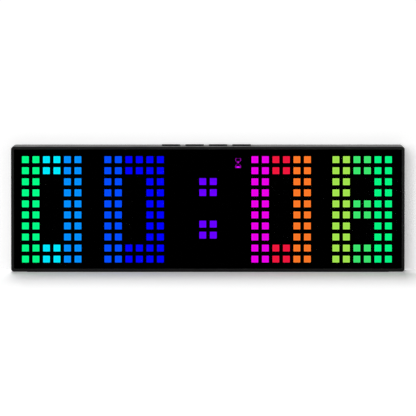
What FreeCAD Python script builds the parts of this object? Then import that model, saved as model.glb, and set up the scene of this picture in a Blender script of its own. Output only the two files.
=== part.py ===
import FreeCAD, Part
import math
import os
import re
import Sketcher

# A wide desk clock that writes the time in square light pixels.
# +X is the viewer's right, the face looks along -Y, +Z is up, and the feet stand on Z = 0.

Vector = FreeCAD.Vector
document = FreeCAD.newDocument("PixelClock")

# ---------------------------------------------------------------------------------------------
# Driving dimensions, in millimetres

SIZES = [
    # the light pixels
    ("pixel_size", 3.4, "side of one light square"),
    ("column_pitch", 5.348, "from one pixel column to the next"),
    ("row_pitch", 5.6305, "from one pixel row to the next"),
    ("gap_left", 11.8, "dark gap between the first and second digit"),
    ("gap_middle", 44.685, "dark gap between the second and third digit"),
    ("gap_right", 11.09, "dark gap between the third and fourth digit"),
    ("clear_left", 1.67, "ledge to the first pixel column"),
    ("clear_right", 2.595, "last pixel column to the ledge"),
    ("clear_top", 1.12, "top pixel row to the ledge"),
    ("clear_bottom", 0.7, "ledge to the bottom pixel row"),
    ("colon_shift", 0.2, "colon, right of the middle of its gap"),
    ("colon_rise", 0.53, "colon, above the middle of the digits"),
    ("colon_spread", 21.68, "between the centres of the two colon dots"),
    ("icon_shift", 15.33, "timer symbol, right of the colon"),
    ("icon_drop", 3.48, "centre of the timer symbol, below the top of the digits"),
    ("icon_width", 2.85, "timer symbol's width"),
    ("icon_height", 5.05, "timer symbol's height"),
    ("icon_stroke", 0.28, "line width of the timer symbol"),
    # the case
    ("case_depth", 36.0, "case, front to back"),
    ("rim", 1.45, "bezel rim beside the lens"),
    ("ledge", 2.45, "ledge that carries the lens, past the rim"),
    ("ledge_thick", 1.5, "thickness of that ledge"),
    ("wall", 2.0, "side walls"),
    ("back_wall", 2.5, "rear wall"),
    ("corner_radius", 1.5, "long outer edges"),
    ("inner_radius", 0.6, "long inner edges"),
    ("front_round", 0.35, "rounding of the front outer edge"),
    ("rim_bevel", 0.3, "bevel of the rim towards the lens"),
    ("rear_round", 1.2, "rounding of the rear outer edge"),
    ("seam", 0.4, "width and depth of the shadow line between housing and cover"),
    ("cover_depth", 5.0, "rear cover, front to back"),
    ("lip_length", 2.0, "cover lip inside the housing"),
    ("lip_thick", 1.2, "thickness of that lip"),
    ("fit_gap", 0.1, "clearance between pieces that are fixed together"),
    ("foot_proud", 0.5, "rubber strips below the case"),
    ("foot_recess", 0.8, "rubber strips set into the case"),
    ("foot_width", 5.0, "rubber strip, front to back"),
    ("foot_inset", 8.0, "rubber strip's end from the side of the case"),
    ("foot_setback", 9.5, "middle of the front strip behind the case front"),
    ("foot_margin", 1.0, "rear strip's recess to the shadow line"),
    ("hair", 0.01, "straight piece left between two rounded corners"),
    # lens and display stack
    ("lens_recess", 0.4, "lens face behind the rim"),
    ("lens_thick", 2.0, "lens"),
    ("tape_thick", 0.15, "lens tape and mask film"),
    ("grid_depth", 6.0, "light grid, front to back"),
    ("grid_wall", 0.8, "pixel window to its well wall, less the tile gap"),
    ("tile_thick", 1.0, "diffuser tile"),
    ("tile_gap", 0.05, "clearance round a tile"),
    ("led_size", 2.0, "side of a light emitting diode"),
    ("led_height", 0.8, "height of that diode"),
    ("board_thick", 1.6, "display board and main board"),
    ("board_gap", 0.5, "board edges to the case wall"),
    ("driver_width", 10.0, "driver chip's width"),
    ("driver_height", 7.5, "driver chip's height"),
    # fixings
    ("post_radius", 3.25, "screw posts of housing and cover"),
    ("post_gap", 0.5, "clearance round a post that passes a board"),
    ("screw_radius", 1.25, "case screw shank"),
    ("screw_length", 12.0, "case screw shank length"),
    ("screw_room", 1.0, "free hole past the tip of a case screw"),
    ("head_radius", 2.4, "case screw head"),
    ("head_height", 1.8, "height of that head"),
    ("head_sink", 3.5, "head seat below the rear face"),
    ("thread_gap", 0.05, "clearance round a screw shank"),
    ("small_screw_radius", 0.8, "board screw shank"),
    ("small_screw_length", 4.0, "board screw shank below its head"),
    ("small_head_radius", 1.5, "board screw head"),
    ("small_head_height", 1.0, "height of that head"),
    ("standoff_radius", 2.4, "board standoffs"),
    ("support_inset", 14.0, "display board support from the side of the case"),
    # buttons and switches
    ("button_width", 9.5, "button along the case"),
    ("button_depth", 5.0, "button front to back"),
    ("button_corner", 1.5, "button corner radius seen from above"),
    ("button_round", 0.25, "rounding of the button's top edge"),
    ("button_proud", 0.75, "button above the case"),
    ("button_gap", 0.15, "clearance round a button"),
    ("button_pitch", 12.0, "from one button to the next"),
    ("button_shift", -0.75, "middle of the row, from the middle of the case"),
    ("button_setback", 12.0, "button front behind the case front"),
    ("flange_lip", 0.8, "flange that keeps a button in, past the button"),
    ("flange_thick", 0.8, "thickness of that flange"),
    ("flange_gap", 0.1, "flange below the case wall at rest"),
    ("stem_radius", 1.5, "button stem"),
    ("stem_length", 1.2, "button stem below the flange"),
    ("switch_size", 6.0, "side of a switch body"),
    ("switch_height", 3.5, "height of a switch body"),
    ("plunger_radius", 1.7, "switch plunger"),
    ("plunger_proud", 1.0, "plunger above the switch body"),
    ("plunger_length", 2.2, "whole plunger"),
    ("plunger_gap", 0.08, "clearance round the plunger"),
    ("plunger_room", 1.0, "free space under the plunger"),
    ("key_board_length", 64.0, "button board along the case"),
    ("key_board_depth", 11.0, "button board front to back"),
    ("key_board_thick", 1.2, "button board"),
    ("key_board_setback", 11.0, "button board behind the case front"),
    # main board and what it carries
    ("main_shift", -10.0, "main board's middle, from the middle of the case"),
    ("main_width", 46.0, "main board's width"),
    ("main_height", 36.0, "main board's height"),
    ("main_standoff", 5.9, "main board in front of the rear wall"),
    ("standoff_inset", 3.5, "standoff centre from the board's edges"),
    ("socket_width", 9.0, "power socket shell"),
    ("socket_height", 3.3, "height of that shell"),
    ("socket_skin", 0.35, "sheet of that shell"),
    ("socket_rise", 6.25, "socket centre above the main board's lower edge"),
    ("socket_sink", 0.4, "socket mouth below the rear face"),
    ("socket_gap", 0.2, "clearance round the socket"),
    ("socket_floor", 1.5, "solid foot of the socket"),
    ("tongue_sink", 1.0, "tongue below the socket's mouth"),
    ("tongue_width", 6.6, "tongue in the socket"),
    ("tongue_thick", 0.7, "thickness of that tongue"),
    ("ribbon_width", 12.0, "flat lead between the boards"),
    ("ribbon_thick", 0.9, "thickness of that lead"),
    ("plug_length", 3.0, "ribbon connector, off its board"),
    ("plug_margin", 1.5, "ribbon connector past the ribbon"),
    ("chip_thick", 1.2, "thickness of the chips"),
    ("chip_rise", 6.0, "row of chips, above the middle of the board"),
    ("chip_spread", 12.5, "sound chip and clock crystal, from the middle of the board"),
    ("controller_side", 9.0, "side of the microcontroller"),
    ("sound_chip_side", 5.0, "side of the sound chip"),
    ("crystal_width", 3.8, "clock crystal's width"),
    ("crystal_height", 8.0, "clock crystal's height"),
    ("crystal_thick", 3.2, "clock crystal, off its board"),
    ("capacitor_radius", 2.5, "radius of a capacitor"),
    ("capacitor_height", 6.0, "capacitor, off its board"),
    ("capacitor_gap", 0.6, "between two capacitors"),
    ("capacitor_inset", 10.0, "first capacitor from the board's left edge"),
    # vents and label field
    ("vent_width", 1.6, "width of a vent slot"),
    ("vent_height", 8.0, "height of a vent slot"),
    ("vent_pitch", 5.5, "from one vent slot to the next"),
    ("vent_drop", 10.0, "middle of the vent slots, below the socket"),
    ("label_height", 14.0, "height of the blank label field"),
    ("label_rise", 22.0, "middle of that field, above the socket"),
    # speaker
    ("speaker_shift", -60.0, "speaker's middle, from the middle of the case"),
    ("speaker_radius", 14.0, "speaker flange"),
    ("speaker_flange", 1.2, "thickness of that flange"),
    ("basket_radius", 8.5, "small end of the speaker basket"),
    ("basket_depth", 4.5, "depth of the basket"),
    ("basket_skin", 1.0, "wall of the basket"),
    ("paper_gap", 0.2, "paper cone clear of the basket"),
    ("magnet_radius", 7.5, "speaker magnet"),
    ("magnet_thick", 3.5, "thickness of the magnet"),
    ("ring_thick", 1.2, "ring wall round the speaker"),
    ("ring_height", 3.0, "height of that wall"),
    ("sound_hole", 0.9, "radius of a sound hole"),
    ("sound_pitch", 3.4, "from one ring of sound holes to the next"),
    # batteries
    ("bay_shift", 46.5, "battery bay's middle, from the middle of the case"),
    ("cell_length", 44.5, "battery cell with its nub"),
    ("cell_radius", 5.25, "radius of a battery cell"),
    ("cell_gap", 0.5, "between two cells"),
    ("cell_margin", 0.4, "cells to the bay"),
    ("nub_radius", 1.9, "radius of the cell's nub"),
    ("nub_length", 0.8, "length of that nub"),
    ("spring_room", 4.5, "room for a contact spring"),
    ("spring_radius", 3.2, "wide end of a contact spring"),
    ("spring_wire", 0.3, "radius of the spring wire"),
    ("contact_side", 8.0, "side of a contact plate"),
    ("contact_thick", 0.4, "thickness of a contact plate"),
    ("bay_wall", 2.2, "walls of the battery bay"),
    ("door_overlap", 1.2, "door past the bay's opening"),
    ("door_gap", 0.2, "clearance round the door"),
    ("door_seat", 0.1, "door above its seat"),
    ("pintle_radius", 0.7, "hinge stub of the door"),
    ("pintle_length", 1.2, "hinge stub past the door's edge"),
    ("hinge_gap", 0.05, "clearance round a hinge stub"),
    ("latch_width", 12.0, "latch finger of the door"),
    ("latch_length", 4.5, "latch finger behind the door"),
    ("latch_thick", 0.8, "thickness of that finger"),
    ("latch_nose", 0.15, "nose on that finger"),
    ("latch_drop", 0.5, "finger below the door's top edge"),
    ("latch_slot", 0.5, "clearance round the finger"),
    ("rib_depth", 0.3, "finger grooves and blank label field, below the surface"),
    ("rib_width", 1.0, "width of a finger groove"),
    ("rib_pitch", 2.5, "from one finger groove to the next"),
    # wires
    ("wire_radius", 0.6, "insulated lead"),
    ("wire_spread", 2.4, "between the two wires of a pair"),
    ("wire_start", 4.0, "straight piece where a wire leaves"),
    ("wire_sag", 2.0, "slack of a wire in its long run"),
    ("wire_loop", 3.5, "wire in front of the main board, before it turns in"),
    ("wire_inset", 5.0, "wire's end from the main board's side edge"),
]

sheet = document.addObject("Spreadsheet::Sheet", "Sizes")
for row, (alias, value, meaning) in enumerate(SIZES, start=1):
    sheet.set(f"A{row}", meaning)
    sheet.set(f"B{row}", str(value))
    sheet.setAlias(f"B{row}", alias)

COLUMNS = 6
ROWS = 10
STROKES = ("left", "middle", "right")
STROKE_COLUMNS = COLUMNS // len(STROKES)

# Places that follow from the driving dimensions, each a formula
PLACES = {
    "digit_width": f"{COLUMNS - 1} * column_pitch + pixel_size",
    "digit_height": f"{ROWS - 1} * row_pitch + pixel_size",
    "case_width": "4 * digit_width + gap_left + gap_middle + gap_right"
                  " + clear_left + clear_right + 2 * (rim + ledge)",
    "case_height": "digit_height + clear_top + clear_bottom + 2 * (rim + ledge)",
    "left": "-case_width / 2",
    "right": "case_width / 2",
    "front": "-case_depth / 2",
    "rear": "case_depth / 2",
    "base": "foot_proud",
    "top": "base + case_height",
    "middle": "(base + top) / 2",
    # corner of the opening inside the ledge
    "open_left": "left + rim + ledge",
    "open_low": "base + rim + ledge",
    # display stack, front to back
    "lens_front": "front + lens_recess",
    "lens_back": "lens_front + lens_thick",
    "film_back": "lens_back + tape_thick",
    "ledge_back": "film_back + ledge_thick",
    "grid_back": "film_back + grid_depth",
    "board_back": "grid_back + board_thick",
    # pixel field
    "pixel_left": "open_left + clear_left + pixel_size / 2",
    "pixel_low": "open_low + clear_bottom + pixel_size / 2",
    "digit_1": "pixel_left",
    "digit_2": "digit_1 + digit_width + gap_left",
    "digit_3": "digit_2 + digit_width + gap_middle",
    "digit_4": "digit_3 + digit_width + gap_right",
    "band_left": "digit_2 - pixel_size / 2 - gap_left / 2",
    "band_right": "digit_4 - pixel_size / 2 - gap_right / 2",
    "colon_x": "digit_3 - pixel_size / 2 - gap_middle / 2 + colon_shift",
    "colon_z": "pixel_low + (digit_height - pixel_size) / 2 + colon_rise",
    "icon_x": "colon_x + icon_shift",
    "icon_z": "pixel_low - pixel_size / 2 + digit_height - icon_drop",
    "well_size": "pixel_size + grid_wall",
    "tile_size": "well_size - 2 * tile_gap",
    # case
    "cavity_low": "base + wall",
    "cavity_high": "top - wall",
    "back_inner": "rear - back_wall",
    "parting": "rear - cover_depth",
    "post_low": "cavity_low + post_radius - fit_gap",
    "post_high": "cavity_high - post_radius + fit_gap",
    "foot_front": "front + foot_setback",
    "foot_rear": "parting - seam - foot_margin - fit_gap - foot_width / 2",
    # buttons, from the top down
    "button_y": "front + button_setback + button_depth / 2",
    "flange_top": "cavity_high - flange_gap",
    "flange_bottom": "flange_top - flange_thick",
    "stem_bottom": "flange_bottom - stem_length",
    "switch_top": "stem_bottom - plunger_proud",
    "switch_bottom": "switch_top - switch_height",
    "key_board_bottom": "switch_bottom - key_board_thick",
    "key_board_y": "front + key_board_setback + key_board_depth / 2",
    "key_post_spread": "key_board_length / 2 - standoff_radius - fit_gap",
    # main board
    "main_back": "back_inner - main_standoff",
    "main_front": "main_back - board_thick",
    "main_left": "main_shift - main_width / 2",
    "main_right": "main_shift + main_width / 2",
    "main_low": "middle - main_height / 2",
    "socket_z": "main_low + socket_rise",
    "chip_z": "middle + chip_rise",
    "capacitor_x": "main_left + capacitor_inset",
    # battery bay
    "bay_length": "cell_length + spring_room + 2 * contact_thick",
    "bay_height": "6 * cell_radius + 2 * cell_gap + 2 * cell_margin",
    "bay_floor": "back_inner - 2 * cell_radius - 2 * cell_margin",
    "door_left": "bay_shift - bay_length / 2 - door_overlap",
    "door_right": "bay_shift + bay_length / 2 + door_overlap",
    "door_low": "middle - bay_height / 2 - door_overlap",
    "door_high": "middle + bay_height / 2 + door_overlap",
    "door_inner": "back_inner + door_seat",
    "hinge_y": "(door_inner + rear) / 2",
    "hinge_z": "door_low + (rear - door_inner) / 2",
    "latch_high": "door_high - latch_drop",
}

WORDS = {alias: "Sizes" for alias, _, _ in SIZES}
WORDS.update({name: "Places" for name in PLACES})


def linked(formula):
    """The formula with every known word tied to the object that holds its value."""
    return re.sub(r"[a-z_]+[a-z_0-9]*",
                  lambda word: f"{WORDS[word.group()]}.{word.group()}"
                  if word.group() in WORDS else word.group(), str(formula))


def bind(item, property_path, formula):
    item.setExpression(property_path, linked(formula))


places = document.addObject("App::VarSet", "Places")
for name, formula in PLACES.items():
    places.addProperty("App::PropertyFloat", name)
    bind(places, name, formula)
document.recompute()


def number(formula):
    """The present value of a formula."""
    return float(sheet.evalExpression(linked(formula)))


# ---------------------------------------------------------------------------------------------
# Part primitives

def around(centre, size):
    """Low and high formula of a span of the given size about a centre."""
    return f"{centre} - ({size}) / 2", f"{centre} + ({size}) / 2"


def block(name, x, y, z):
    """A box between a low and a high formula along each axis."""
    item = document.addObject("Part::Box", name)
    for side, axis, (low, high) in zip(("Length", "Width", "Height"), "xyz", (x, y, z)):
        bind(item, side, f"({high}) - ({low})")
        bind(item, f"Placement.Base.{axis}", low)
    return item


TURNS = {
    "x": FreeCAD.Rotation(Vector(0, 1, 0), 90),
    "y": FreeCAD.Rotation(Vector(1, 0, 0), -90),
    "z": FreeCAD.Rotation(),
}


def stand(item, axis, start, centre):
    """Turns a round primitive along an axis and puts its foot at start, on the given centre line."""
    item.Placement = FreeCAD.Placement(Vector(), TURNS[axis])
    bind(item, f"Placement.Base.{axis}", start)
    for other, formula in zip([letter for letter in "xyz" if letter != axis], centre):
        bind(item, f"Placement.Base.{other}", formula)
    return item


def rod(name, axis, start, end, centre, radius):
    """A cylinder along an axis, from start to end."""
    item = document.addObject("Part::Cylinder", name)
    bind(item, "Radius", radius)
    bind(item, "Height", f"({end}) - ({start})")
    return stand(item, axis, start, centre)


def cone(name, axis, start, end, centre, start_radius, end_radius):
    """A cut-off cone along an axis."""
    item = document.addObject("Part::Cone", name)
    bind(item, "Radius1", start_radius)
    bind(item, "Radius2", end_radius)
    bind(item, "Height", f"({end}) - ({start})")
    return stand(item, axis, start, centre)


def fused(name, pieces):
    item = document.addObject("Part::MultiFuse", name)
    item.Shapes = pieces
    return item


def group(name, pieces):
    """Separate solids that share one node."""
    item = document.addObject("Part::Compound", name)
    item.Links = pieces
    return item


def cut(name, base, tool):
    item = document.addObject("Part::Cut", name)
    item.Base = base
    item.Tool = tool
    return item


def feature(name, shape):
    """A piece whose shape is worked out in code from the sheet's values."""
    item = document.addObject("Part::Feature", name)
    item.Shape = shape
    item.Placement = FreeCAD.Placement()
    return item


# ---------------------------------------------------------------------------------------------
# PartDesign layers: a slab between two heights along an axis, outlined by loops

ORIGIN_PLANES = {"x": "YZ_Plane", "y": "XZ_Plane", "z": "XY_Plane"}


def new_body(name):
    item = document.addObject("PartDesign::Body", name)
    item.Label = name
    return item


def fix(sketch, constraint, formula):
    """Adds a constraint whose value follows a formula."""
    index = sketch.addConstraint(constraint)
    sketch.setExpression(f"Constraints[{index}]", linked(formula))


def draw_circle(sketch, across, up, radius):
    """A circle about a centre."""
    circle = Part.Circle(Vector(number(across), number(up), 0), Vector(0, 0, 1), number(radius))
    index = sketch.addGeometry(circle, False)
    fix(sketch, Sketcher.Constraint("Radius", index, number(radius)), radius)
    fix(sketch, Sketcher.Constraint("DistanceX", -1, 1, index, 3, number(across)), across)
    fix(sketch, Sketcher.Constraint("DistanceY", -1, 1, index, 3, number(up)), up)


def draw_polygon(sketch, points):
    """Straight edges through points, each a pair of formulas."""
    corners = [Vector(number(across), number(up), 0) for across, up in points]
    first = sketch.GeometryCount
    count = len(points)
    for index in range(count):
        sketch.addGeometry(Part.LineSegment(corners[index], corners[(index + 1) % count]), False)
    for index in range(count):
        following = first + (index + 1) % count
        sketch.addConstraint(Sketcher.Constraint("Coincident", first + index, 2, following, 1))
    for index, (across, up) in enumerate(points):
        corner = corners[index]
        fix(sketch, Sketcher.Constraint("DistanceX", -1, 1, first + index, 1, corner.x), across)
        fix(sketch, Sketcher.Constraint("DistanceY", -1, 1, first + index, 1, corner.y), up)


def draw_rectangle(sketch, across, up, radius):
    """A rectangle with rounded corners, between low and high formulas."""
    low_x, high_x = number(across[0]), number(across[1])
    low_y, high_y = number(up[0]), number(up[1])
    size = number(radius)
    first = sketch.GeometryCount
    bends = [
        (high_x - size, low_y + size, -90),
        (high_x - size, high_y - size, 0),
        (low_x + size, high_y - size, 90),
        (low_x + size, low_y + size, 180),
    ]
    sides = [
        ((low_x + size, low_y), (high_x - size, low_y)),
        ((high_x, low_y + size), (high_x, high_y - size)),
        ((high_x - size, high_y), (low_x + size, high_y)),
        ((low_x, high_y - size), (low_x, low_y + size)),
    ]
    for (start, end), (centre_x, centre_y, angle) in zip(sides, bends):
        sketch.addGeometry(Part.LineSegment(Vector(*start, 0), Vector(*end, 0)), False)
        circle = Part.Circle(Vector(centre_x, centre_y, 0), Vector(0, 0, 1), size)
        arc = Part.ArcOfCircle(circle, math.radians(angle), math.radians(angle + 90))
        sketch.addGeometry(arc, False)
    for side in range(4):
        line, arc = first + 2 * side, first + 2 * side + 1
        following = first + 2 * ((side + 1) % 4)
        sketch.addConstraint(Sketcher.Constraint("Tangent", line, 2, arc, 1))
        sketch.addConstraint(Sketcher.Constraint("Tangent", arc, 2, following, 1))
        sketch.addConstraint(Sketcher.Constraint("Vertical" if side % 2 else "Horizontal", line))
        if side:
            sketch.addConstraint(Sketcher.Constraint("Equal", first + 1, arc))
    fix(sketch, Sketcher.Constraint("Radius", first + 1, size), radius)
    fix(sketch, Sketcher.Constraint("DistanceY", -1, 1, first, 1, low_y), up[0])
    fix(sketch, Sketcher.Constraint("DistanceX", -1, 1, first + 2, 1, high_x), across[1])
    fix(sketch, Sketcher.Constraint("DistanceY", -1, 1, first + 4, 1, high_y), up[1])
    fix(sketch, Sketcher.Constraint("DistanceX", -1, 1, first + 6, 1, low_x), across[0])


def draw_square(sketch, across, up):
    """A rectangle with sharp corners, between low and high formulas."""
    draw_polygon(sketch, [(across[0], up[0]), (across[1], up[0]),
                          (across[1], up[1]), (across[0], up[1])])


def circle(across, up, radius):
    return lambda sketch: draw_circle(sketch, across, up, radius)


def rounded(across, up, radius):
    return lambda sketch: draw_rectangle(sketch, across, up, radius)


def square(across, up):
    return lambda sketch: draw_square(sketch, across, up)


def polygon(points):
    return lambda sketch: draw_polygon(sketch, points)


def layer(item, kind, name, axis, low, high, loops):
    """Adds ("Pad") or takes away ("Pocket") a slab of the body, from low to high along an axis.

    The sketch lies at the low end and the slab always grows towards the high end.
    """
    before = item.Shape.Volume if item.Tip else 0.0
    sketch = item.newObject("Sketcher::SketchObject", f"{item.Name}_{name}_outline")
    origin = {entry.Role: entry for entry in item.Origin.OriginFeatures}
    sketch.AttachmentSupport = [(origin[ORIGIN_PLANES[axis]], "")]
    sketch.MapMode = "FlatFace"
    bind(sketch, "AttachmentOffset.Base.z", f"-({low})" if axis == "y" else low)
    for draw in loops:
        draw(sketch)
    slab = item.newObject(f"PartDesign::{kind}", f"{item.Name}_{name}")
    slab.Profile = sketch
    slab.Reversed = (axis == "y") == (kind == "Pad")
    bind(slab, "Length", f"({high}) - ({low})")
    document.recompute()
    grown = item.Shape.Volume - before
    if (grown > 0) != (kind == "Pad"):
        raise RuntimeError(f"{slab.Name} changed nothing")
    return slab


def dress(item, kind, name, size, chosen):
    """Rounds ("Fillet") or bevels ("Chamfer") the chosen edges of a body."""
    before = item.Tip
    names = [f"Edge{index}" for index, edge in enumerate(before.Shape.Edges, start=1)
             if chosen(edge.BoundBox)]
    finish = item.newObject(f"PartDesign::{kind}", f"{item.Name}_{name}")
    finish.Base = (before, names)
    bind(finish, "Radius" if kind == "Fillet" else "Size", size)
    document.recompute()
    return finish


def near(value, formula):
    return abs(value - number(formula)) < 1e-4


def lies_at(axis, formula):
    """Chooses the edges that lie flat at one height along an axis."""
    low, high = f"{axis.upper()}Min", f"{axis.upper()}Max"
    return lambda box: near(getattr(box, low), formula) and near(getattr(box, high), formula)


# ---------------------------------------------------------------------------------------------
# Pixel cells

ZERO = ["######"] * 2 + ["##..##"] * 6 + ["######"] * 2
EIGHT = ["######"] * 2 + ["##..##"] * 2 + ["######"] * 2 + ["##..##"] * 2 + ["######"] * 2
READING = [ZERO, ZERO, ZERO, EIGHT]


def digit_cells(digit):
    """Every cell of one digit: its stroke, whether it is lit, and its centre across and up."""
    start, low = number(f"digit_{digit}"), number("pixel_low")
    for row, marks in enumerate(READING[digit - 1]):
        for column, mark in enumerate(marks):
            across = start + column * number("column_pitch")
            up = low + (ROWS - 1 - row) * number("row_pitch")
            yield STROKES[column // STROKE_COLUMNS], mark == "#", (across, up)


def colon_cells():
    """Centres of the eight colon squares: two dots of two by two."""
    for dot in (-0.5, 0.5):
        for column in (-0.5, 0.5):
            for row in (-0.5, 0.5):
                across = number("colon_x") + column * number("column_pitch")
                up = number("colon_z") + dot * number("colon_spread") + row * number("row_pitch")
                yield across, up


ALL_CELLS = [centre for digit in (1, 2, 3, 4) for _, _, centre in digit_cells(digit)]
ALL_CELLS += list(colon_cells())


def square_blocks(centres, size, low, high):
    """One square block per centre, between two depths."""
    side, start, end = number(size), number(low), number(high)
    corners = [Vector(across - side / 2, start, up - side / 2) for across, up in centres]
    return [Part.makeBox(side, end - start, side, corner) for corner in corners]


def squares(name, centres, size, low, high):
    return feature(name, Part.makeCompound(square_blocks(centres, size, low, high)))


# ---------------------------------------------------------------------------------------------
# Display

def inset(margin):
    """Spans across and up that lie a margin inside the case's outline."""
    return (f"left + {margin}", f"right - ({margin})"), (f"base + {margin}", f"top - ({margin})")


POSTS = [(band, post) for band in ("band_left", "band_right") for post in ("post_low", "post_high")]


def make_lens():
    lens = new_body("front_lens")
    outline = rounded(*inset("rim + fit_gap"), "inner_radius")
    layer(lens, "Pad", "panel", "y", "lens_front", "lens_back", [outline])
    dress(lens, "Chamfer", "edge", "fit_gap", lies_at("y", "lens_front"))
    return lens


def make_tape():
    tape = new_body("lens_tape")
    layer(tape, "Pad", "ring", "y", "lens_back", "film_back", [
        rounded(*inset("rim + 2 * fit_gap"), "inner_radius"),
        square(*inset("rim + ledge - fit_gap"))])
    return tape


def glass_half(turn):
    """One half of the hourglass outline, from its neck: pairs of across and up factors.

    Across is in halves of the symbol's width and up in halves of its height, before the turn.
    """
    return [(0.17 * turn, 0.04 * turn), (1.0 * turn, 0.5 * turn), (1.0 * turn, 0.86 * turn),
            (0.84 * turn, 1.0 * turn), (-0.84 * turn, 1.0 * turn), (-1.0 * turn, 0.86 * turn),
            (-1.0 * turn, 0.5 * turn), (-0.17 * turn, 0.04 * turn)]


def icon_outline(factors):
    """A closed outline at the lens's back from pairs of factors about the symbol's middle."""
    half_width, half_height = number("icon_width") / 2, number("icon_height") / 2
    return [(number("icon_x") + across * half_width, number("icon_z") + up * half_height)
            for across, up in factors]


def icon_glass():
    """Outlines of the glass left free of sand, above and below."""
    side = 1 - 2 * number("icon_stroke") / number("icon_width")
    cap = 1 - 2 * number("icon_stroke") / number("icon_height")
    upper = [(-0.62, 0.42), (0.62, 0.42), (side, 0.55), (side, cap), (-side, cap), (-side, 0.55)]
    lower = [(-0.06, -0.12), (0.06, -0.12), (side, -0.53), (side, -0.74), (0.2, -0.57),
             (-0.2, -0.57), (-side, -0.74), (-side, -0.53)]
    return [icon_outline(upper), icon_outline(lower)]


def outline_wire(points, depth):
    """Closed outline of straight edges, upright, at one depth."""
    corners = [Vector(across, number(depth), up) for across, up in points]
    return Part.makePolygon(corners + corners[:1])


def plate(outline, openings, low, high):
    """A solid between two depths from an outline, pierced by openings."""
    face = Part.makeFace([outline_wire(outline, low)] + openings, "Part::FaceMakerBullseye")
    return face.extrude(Vector(0, number(high) - number(low), 0))


def rectangle_points(across, up):
    """Corners of an upright rectangle from two spans of formulas."""
    (left, right), (low, high) = [(number(start), number(end)) for start, end in (across, up)]
    return [(left, low), (right, low), (right, high), (left, high)]


def square_openings(centres, size, depth):
    half = number(size) / 2
    return [outline_wire([(across - half, up - half), (across + half, up - half),
                          (across + half, up + half), (across - half, up + half)], depth)
            for across, up in centres]


def round_openings(centres, radius, depth):
    return [Part.Wire(Part.Circle(Vector(number(across), number(depth), number(up)),
                                  Vector(0, 1, 0), number(radius)).toShape())
            for across, up in centres]


def mask_outline():
    return rectangle_points(*inset("rim + ledge + fit_gap"))


def make_mask_film():
    """Black print with one clear window per pixel and the timer symbol."""
    symbol = icon_outline(glass_half(1) + glass_half(-1))
    windows = square_openings(ALL_CELLS, "pixel_size", "lens_back")
    openings = windows + [outline_wire(symbol, "lens_back")]
    printed = plate(mask_outline(), openings, "lens_back", "film_back")
    glass = [plate(outline, [], "lens_back", "film_back") for outline in icon_glass()]
    return feature("mask_film", Part.makeCompound([printed] + glass))


def make_timer_icon():
    """Light guide in the shape of an hourglass, with sand above and below."""
    symbol = icon_outline(glass_half(1) + glass_half(-1))
    openings = [outline_wire(outline, "lens_back") for outline in icon_glass()]
    return feature("timer_icon", plate(symbol, openings, "lens_back", "film_back"))


DISPLAY_SCREWS = [("band_left", "middle"), ("band_right", "middle")]
DISPLAY_SCREWS += [(f"colon_x {side} gap_middle / 3", f"middle {rise} digit_height / 4")
                   for side in "+-" for rise in "+-"]


def board_outline():
    """Outline of the display board and the grid behind the ledge, notched for the screw posts."""
    (left, low), (right, _), (_, high), _ = rectangle_points(*inset("wall + board_gap"))
    half = number("post_radius + post_gap")
    reach = number("post_low + post_radius + post_gap")
    bands = [number("band_left"), number("band_right")]
    points = [(left, low)]
    for band in bands:
        points += [(band - half, low), (band - half, reach), (band + half, reach), (band + half, low)]
    points += [(right, low), (right, high)]
    reach = number("post_high - post_radius - post_gap")
    for band in reversed(bands):
        points += [(band + half, high), (band + half, reach), (band - half, reach), (band - half, high)]
    return points + [(left, high)]


def make_light_grid():
    """Moulded block with one square well per light, wider behind the ledge than in front of it."""
    icon_outline_points = rectangle_points(around("icon_x", "icon_width + grid_wall"),
                                           around("icon_z", "icon_height + grid_wall"))
    wells = square_blocks(ALL_CELLS, "well_size", "film_back", "grid_back")
    wells.append(plate(icon_outline_points, [], "film_back", "grid_back"))
    hole = number("small_screw_radius + thread_gap"), number("small_screw_length")
    wells += [Part.makeCylinder(*hole, Vector(number(across), number("grid_back"), number(up)),
                                Vector(0, -1, 0)) for across, up in DISPLAY_SCREWS]
    neck = plate(mask_outline(), [], "film_back", "ledge_back")
    flange = plate(board_outline(), [], "ledge_back", "grid_back")
    return feature("light_grid", neck.fuse(flange).removeSplitter().cut(wells))


def make_tiles():
    """Diffuser squares in the front of the wells, one node per stroke of each digit."""
    dark = []
    nodes = []
    depth = ("film_back", "film_back + tile_thick")
    for digit in (1, 2, 3, 4):
        cells = list(digit_cells(digit))
        dark += [centre for _, lit, centre in cells if not lit]
        for stroke in STROKES:
            centres = [centre for place, lit, centre in cells if lit and place == stroke]
            nodes.append(squares(f"digit_{digit}_{stroke}_tiles", centres, "tile_size", *depth))
    nodes.append(squares("colon_tiles", colon_cells(), "tile_size", *depth))
    nodes.append(squares("dark_tiles", dark, "tile_size", *depth))
    return nodes


def make_led_board():
    holes = round_openings(DISPLAY_SCREWS, "small_screw_radius + thread_gap", "grid_back")
    return feature("led_board", plate(board_outline(), holes, "grid_back", "board_back"))


def make_pixel_leds():
    """One diode per well, and one behind the timer symbol."""
    icon_centre = (number("icon_x"), number("icon_z"))
    return squares("pixel_leds", ALL_CELLS + [icon_centre], "led_size",
                   "grid_back - led_height", "grid_back")


def sorted_span(seat, direction, length):
    """Low and high formula of a span that leaves a seat in one direction."""
    end = f"{seat} {direction} ({length})"
    return (seat, end) if direction == "+" else (end, seat)


def small_screw(name, axis, seat, board, centre, direction):
    """A board screw: shank from its seat through the board, pan head on the other side."""
    away = "-" if direction == "+" else "+"
    shank = sorted_span(seat, direction, f"{board} + small_screw_length - fit_gap")
    head = sorted_span(seat, away, "small_head_height")
    return fused(name, [
        rod(f"{name}_shank", axis, *shank, centre, "small_screw_radius"),
        rod(f"{name}_head", axis, *head, centre, "small_head_radius")])


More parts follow.
